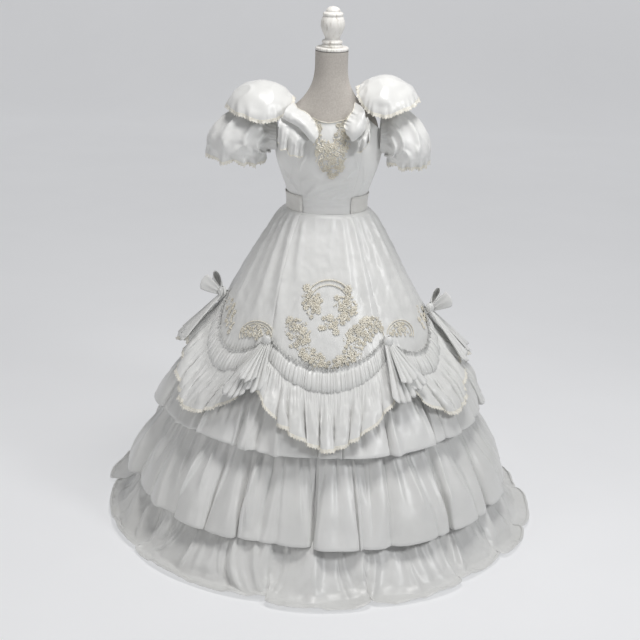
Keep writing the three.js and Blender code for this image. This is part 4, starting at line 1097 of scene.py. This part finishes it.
s = Soup()  # the bodice's lace: a scalloped collar along the neckline that runs down to a point
chest = Cloth(BODICE_GRIDS["front_centre"])
scatter(s, chest, [(312, 118), (322, 123), (323, 138), (333, 142), (337, 124), (348, 114), (354, 112), (350, 130), (349, 142), (347, 158), (341, 172), (332, 177), (322, 172), (316, 158), (314, 142), (317, 132)], 3.7, 2.1, 51, "fdlbb")
for x, y, r in ((332, 176, 4.2), (321, 150, 3.4), (343, 150, 3.4), (332, 160, 3.6), (332, 146, 3.2), (326, 168, 2.8), (339, 167, 2.8)):
    sprig(s, chest, x, y, r, "d", int(x * y))
scroll(s, chest, [(313, 118), (320, 121.5), (328, 123), (337, 122), (345, 118), (353, 113)], 1.3, 6)
bodice_lace = piece("bodice_lace_motif", s, [LACE, PEARL], ["bodice_lace"])

# ------------------------------------------------------------------ stage, light and camera
def sweep():
    """A pale floor that runs up into a plain wall."""
    y = np.concatenate([np.linspace(-9000, 5600, 20), 5600 + 1400 * np.sin(np.linspace(0.1, np.pi / 2, 14)), [7000]])
    zz = np.concatenate([np.zeros(20), 1400 - 1400 * np.cos(np.linspace(0.1, np.pi / 2, 14)), [7000]])
    x = np.linspace(-9000, 9000, 8)
    s = Soup()
    s.grid(np.stack(np.broadcast_arrays(x[:, None], y[None, :], zz[None, :]), -1))
    m, t, b = material("pale_paper")
    t.links.new(ramp(t, noise(t, coords(t), 0.9, 3.0), [(0.3, (0.47, 0.47, 0.475)), (0.7, (0.51, 0.51, 0.515))]), b.inputs["Base Color"])
    b.inputs["Roughness"].default_value = 0.9
    b.inputs["Emission Color"].default_value = (0.94, 0.95, 0.97, 1)
    b.inputs["Emission Strength"].default_value = 0.43
    ob = s.build("stage_sweep", [m])


sweep()
world = bpy.data.worlds.new("soft_room")
bpy.context.scene.world = world
world.use_nodes = True
world.node_tree.nodes["Background"].inputs["Color"].default_value = (0.93, 0.95, 1.0, 1)
world.node_tree.nodes["Background"].inputs["Strength"].default_value = 0.13


def lamp(name, at, look, size, power, color=(1, 1, 1)):
    d = bpy.data.lights.new(name, "AREA")
    d.shape, d.size, d.energy, d.color = "SQUARE", size, power, color
    o = bpy.data.objects.new(name, d)
    bpy.context.scene.collection.objects.link(o)
    from mathutils import Vector
    o.location = at
    o.rotation_euler = (Vector(look) - Vector(at)).to_track_quat("-Z", "Y").to_euler()


lamp("ceiling", (0.3, -0.5, 3.4), (0, 0, 0.5), 0.9, 44, (1.0, 0.99, 0.98))
lamp("window", (2.7, -2.2, 3.0), (0, 0, 0.6), 0.8, 46, (0.98, 0.99, 1.0))
lamp("fill", (-2.9, -2.6, 1.9), (0, 0, 0.6), 2.0, 26, (1.0, 0.99, 0.98))

cam = bpy.data.cameras.new("view")
cam.lens, cam.sensor_width, cam.sensor_fit = FOCAL / 640 * 36, 36, "HORIZONTAL"
cam.clip_end = 60
view = bpy.data.objects.new("view", cam)
bpy.context.scene.collection.objects.link(view)
from mathutils import Matrix
view.matrix_world = Matrix.Translation(CAM_AT * MM) @ Matrix.Rotation(math.radians(90) - PITCH, 4, "X") @ Matrix.Rotation(ROLL, 4, "Z")
bpy.context.scene.camera = view
bpy.context.scene.view_settings.view_transform = "Standard"
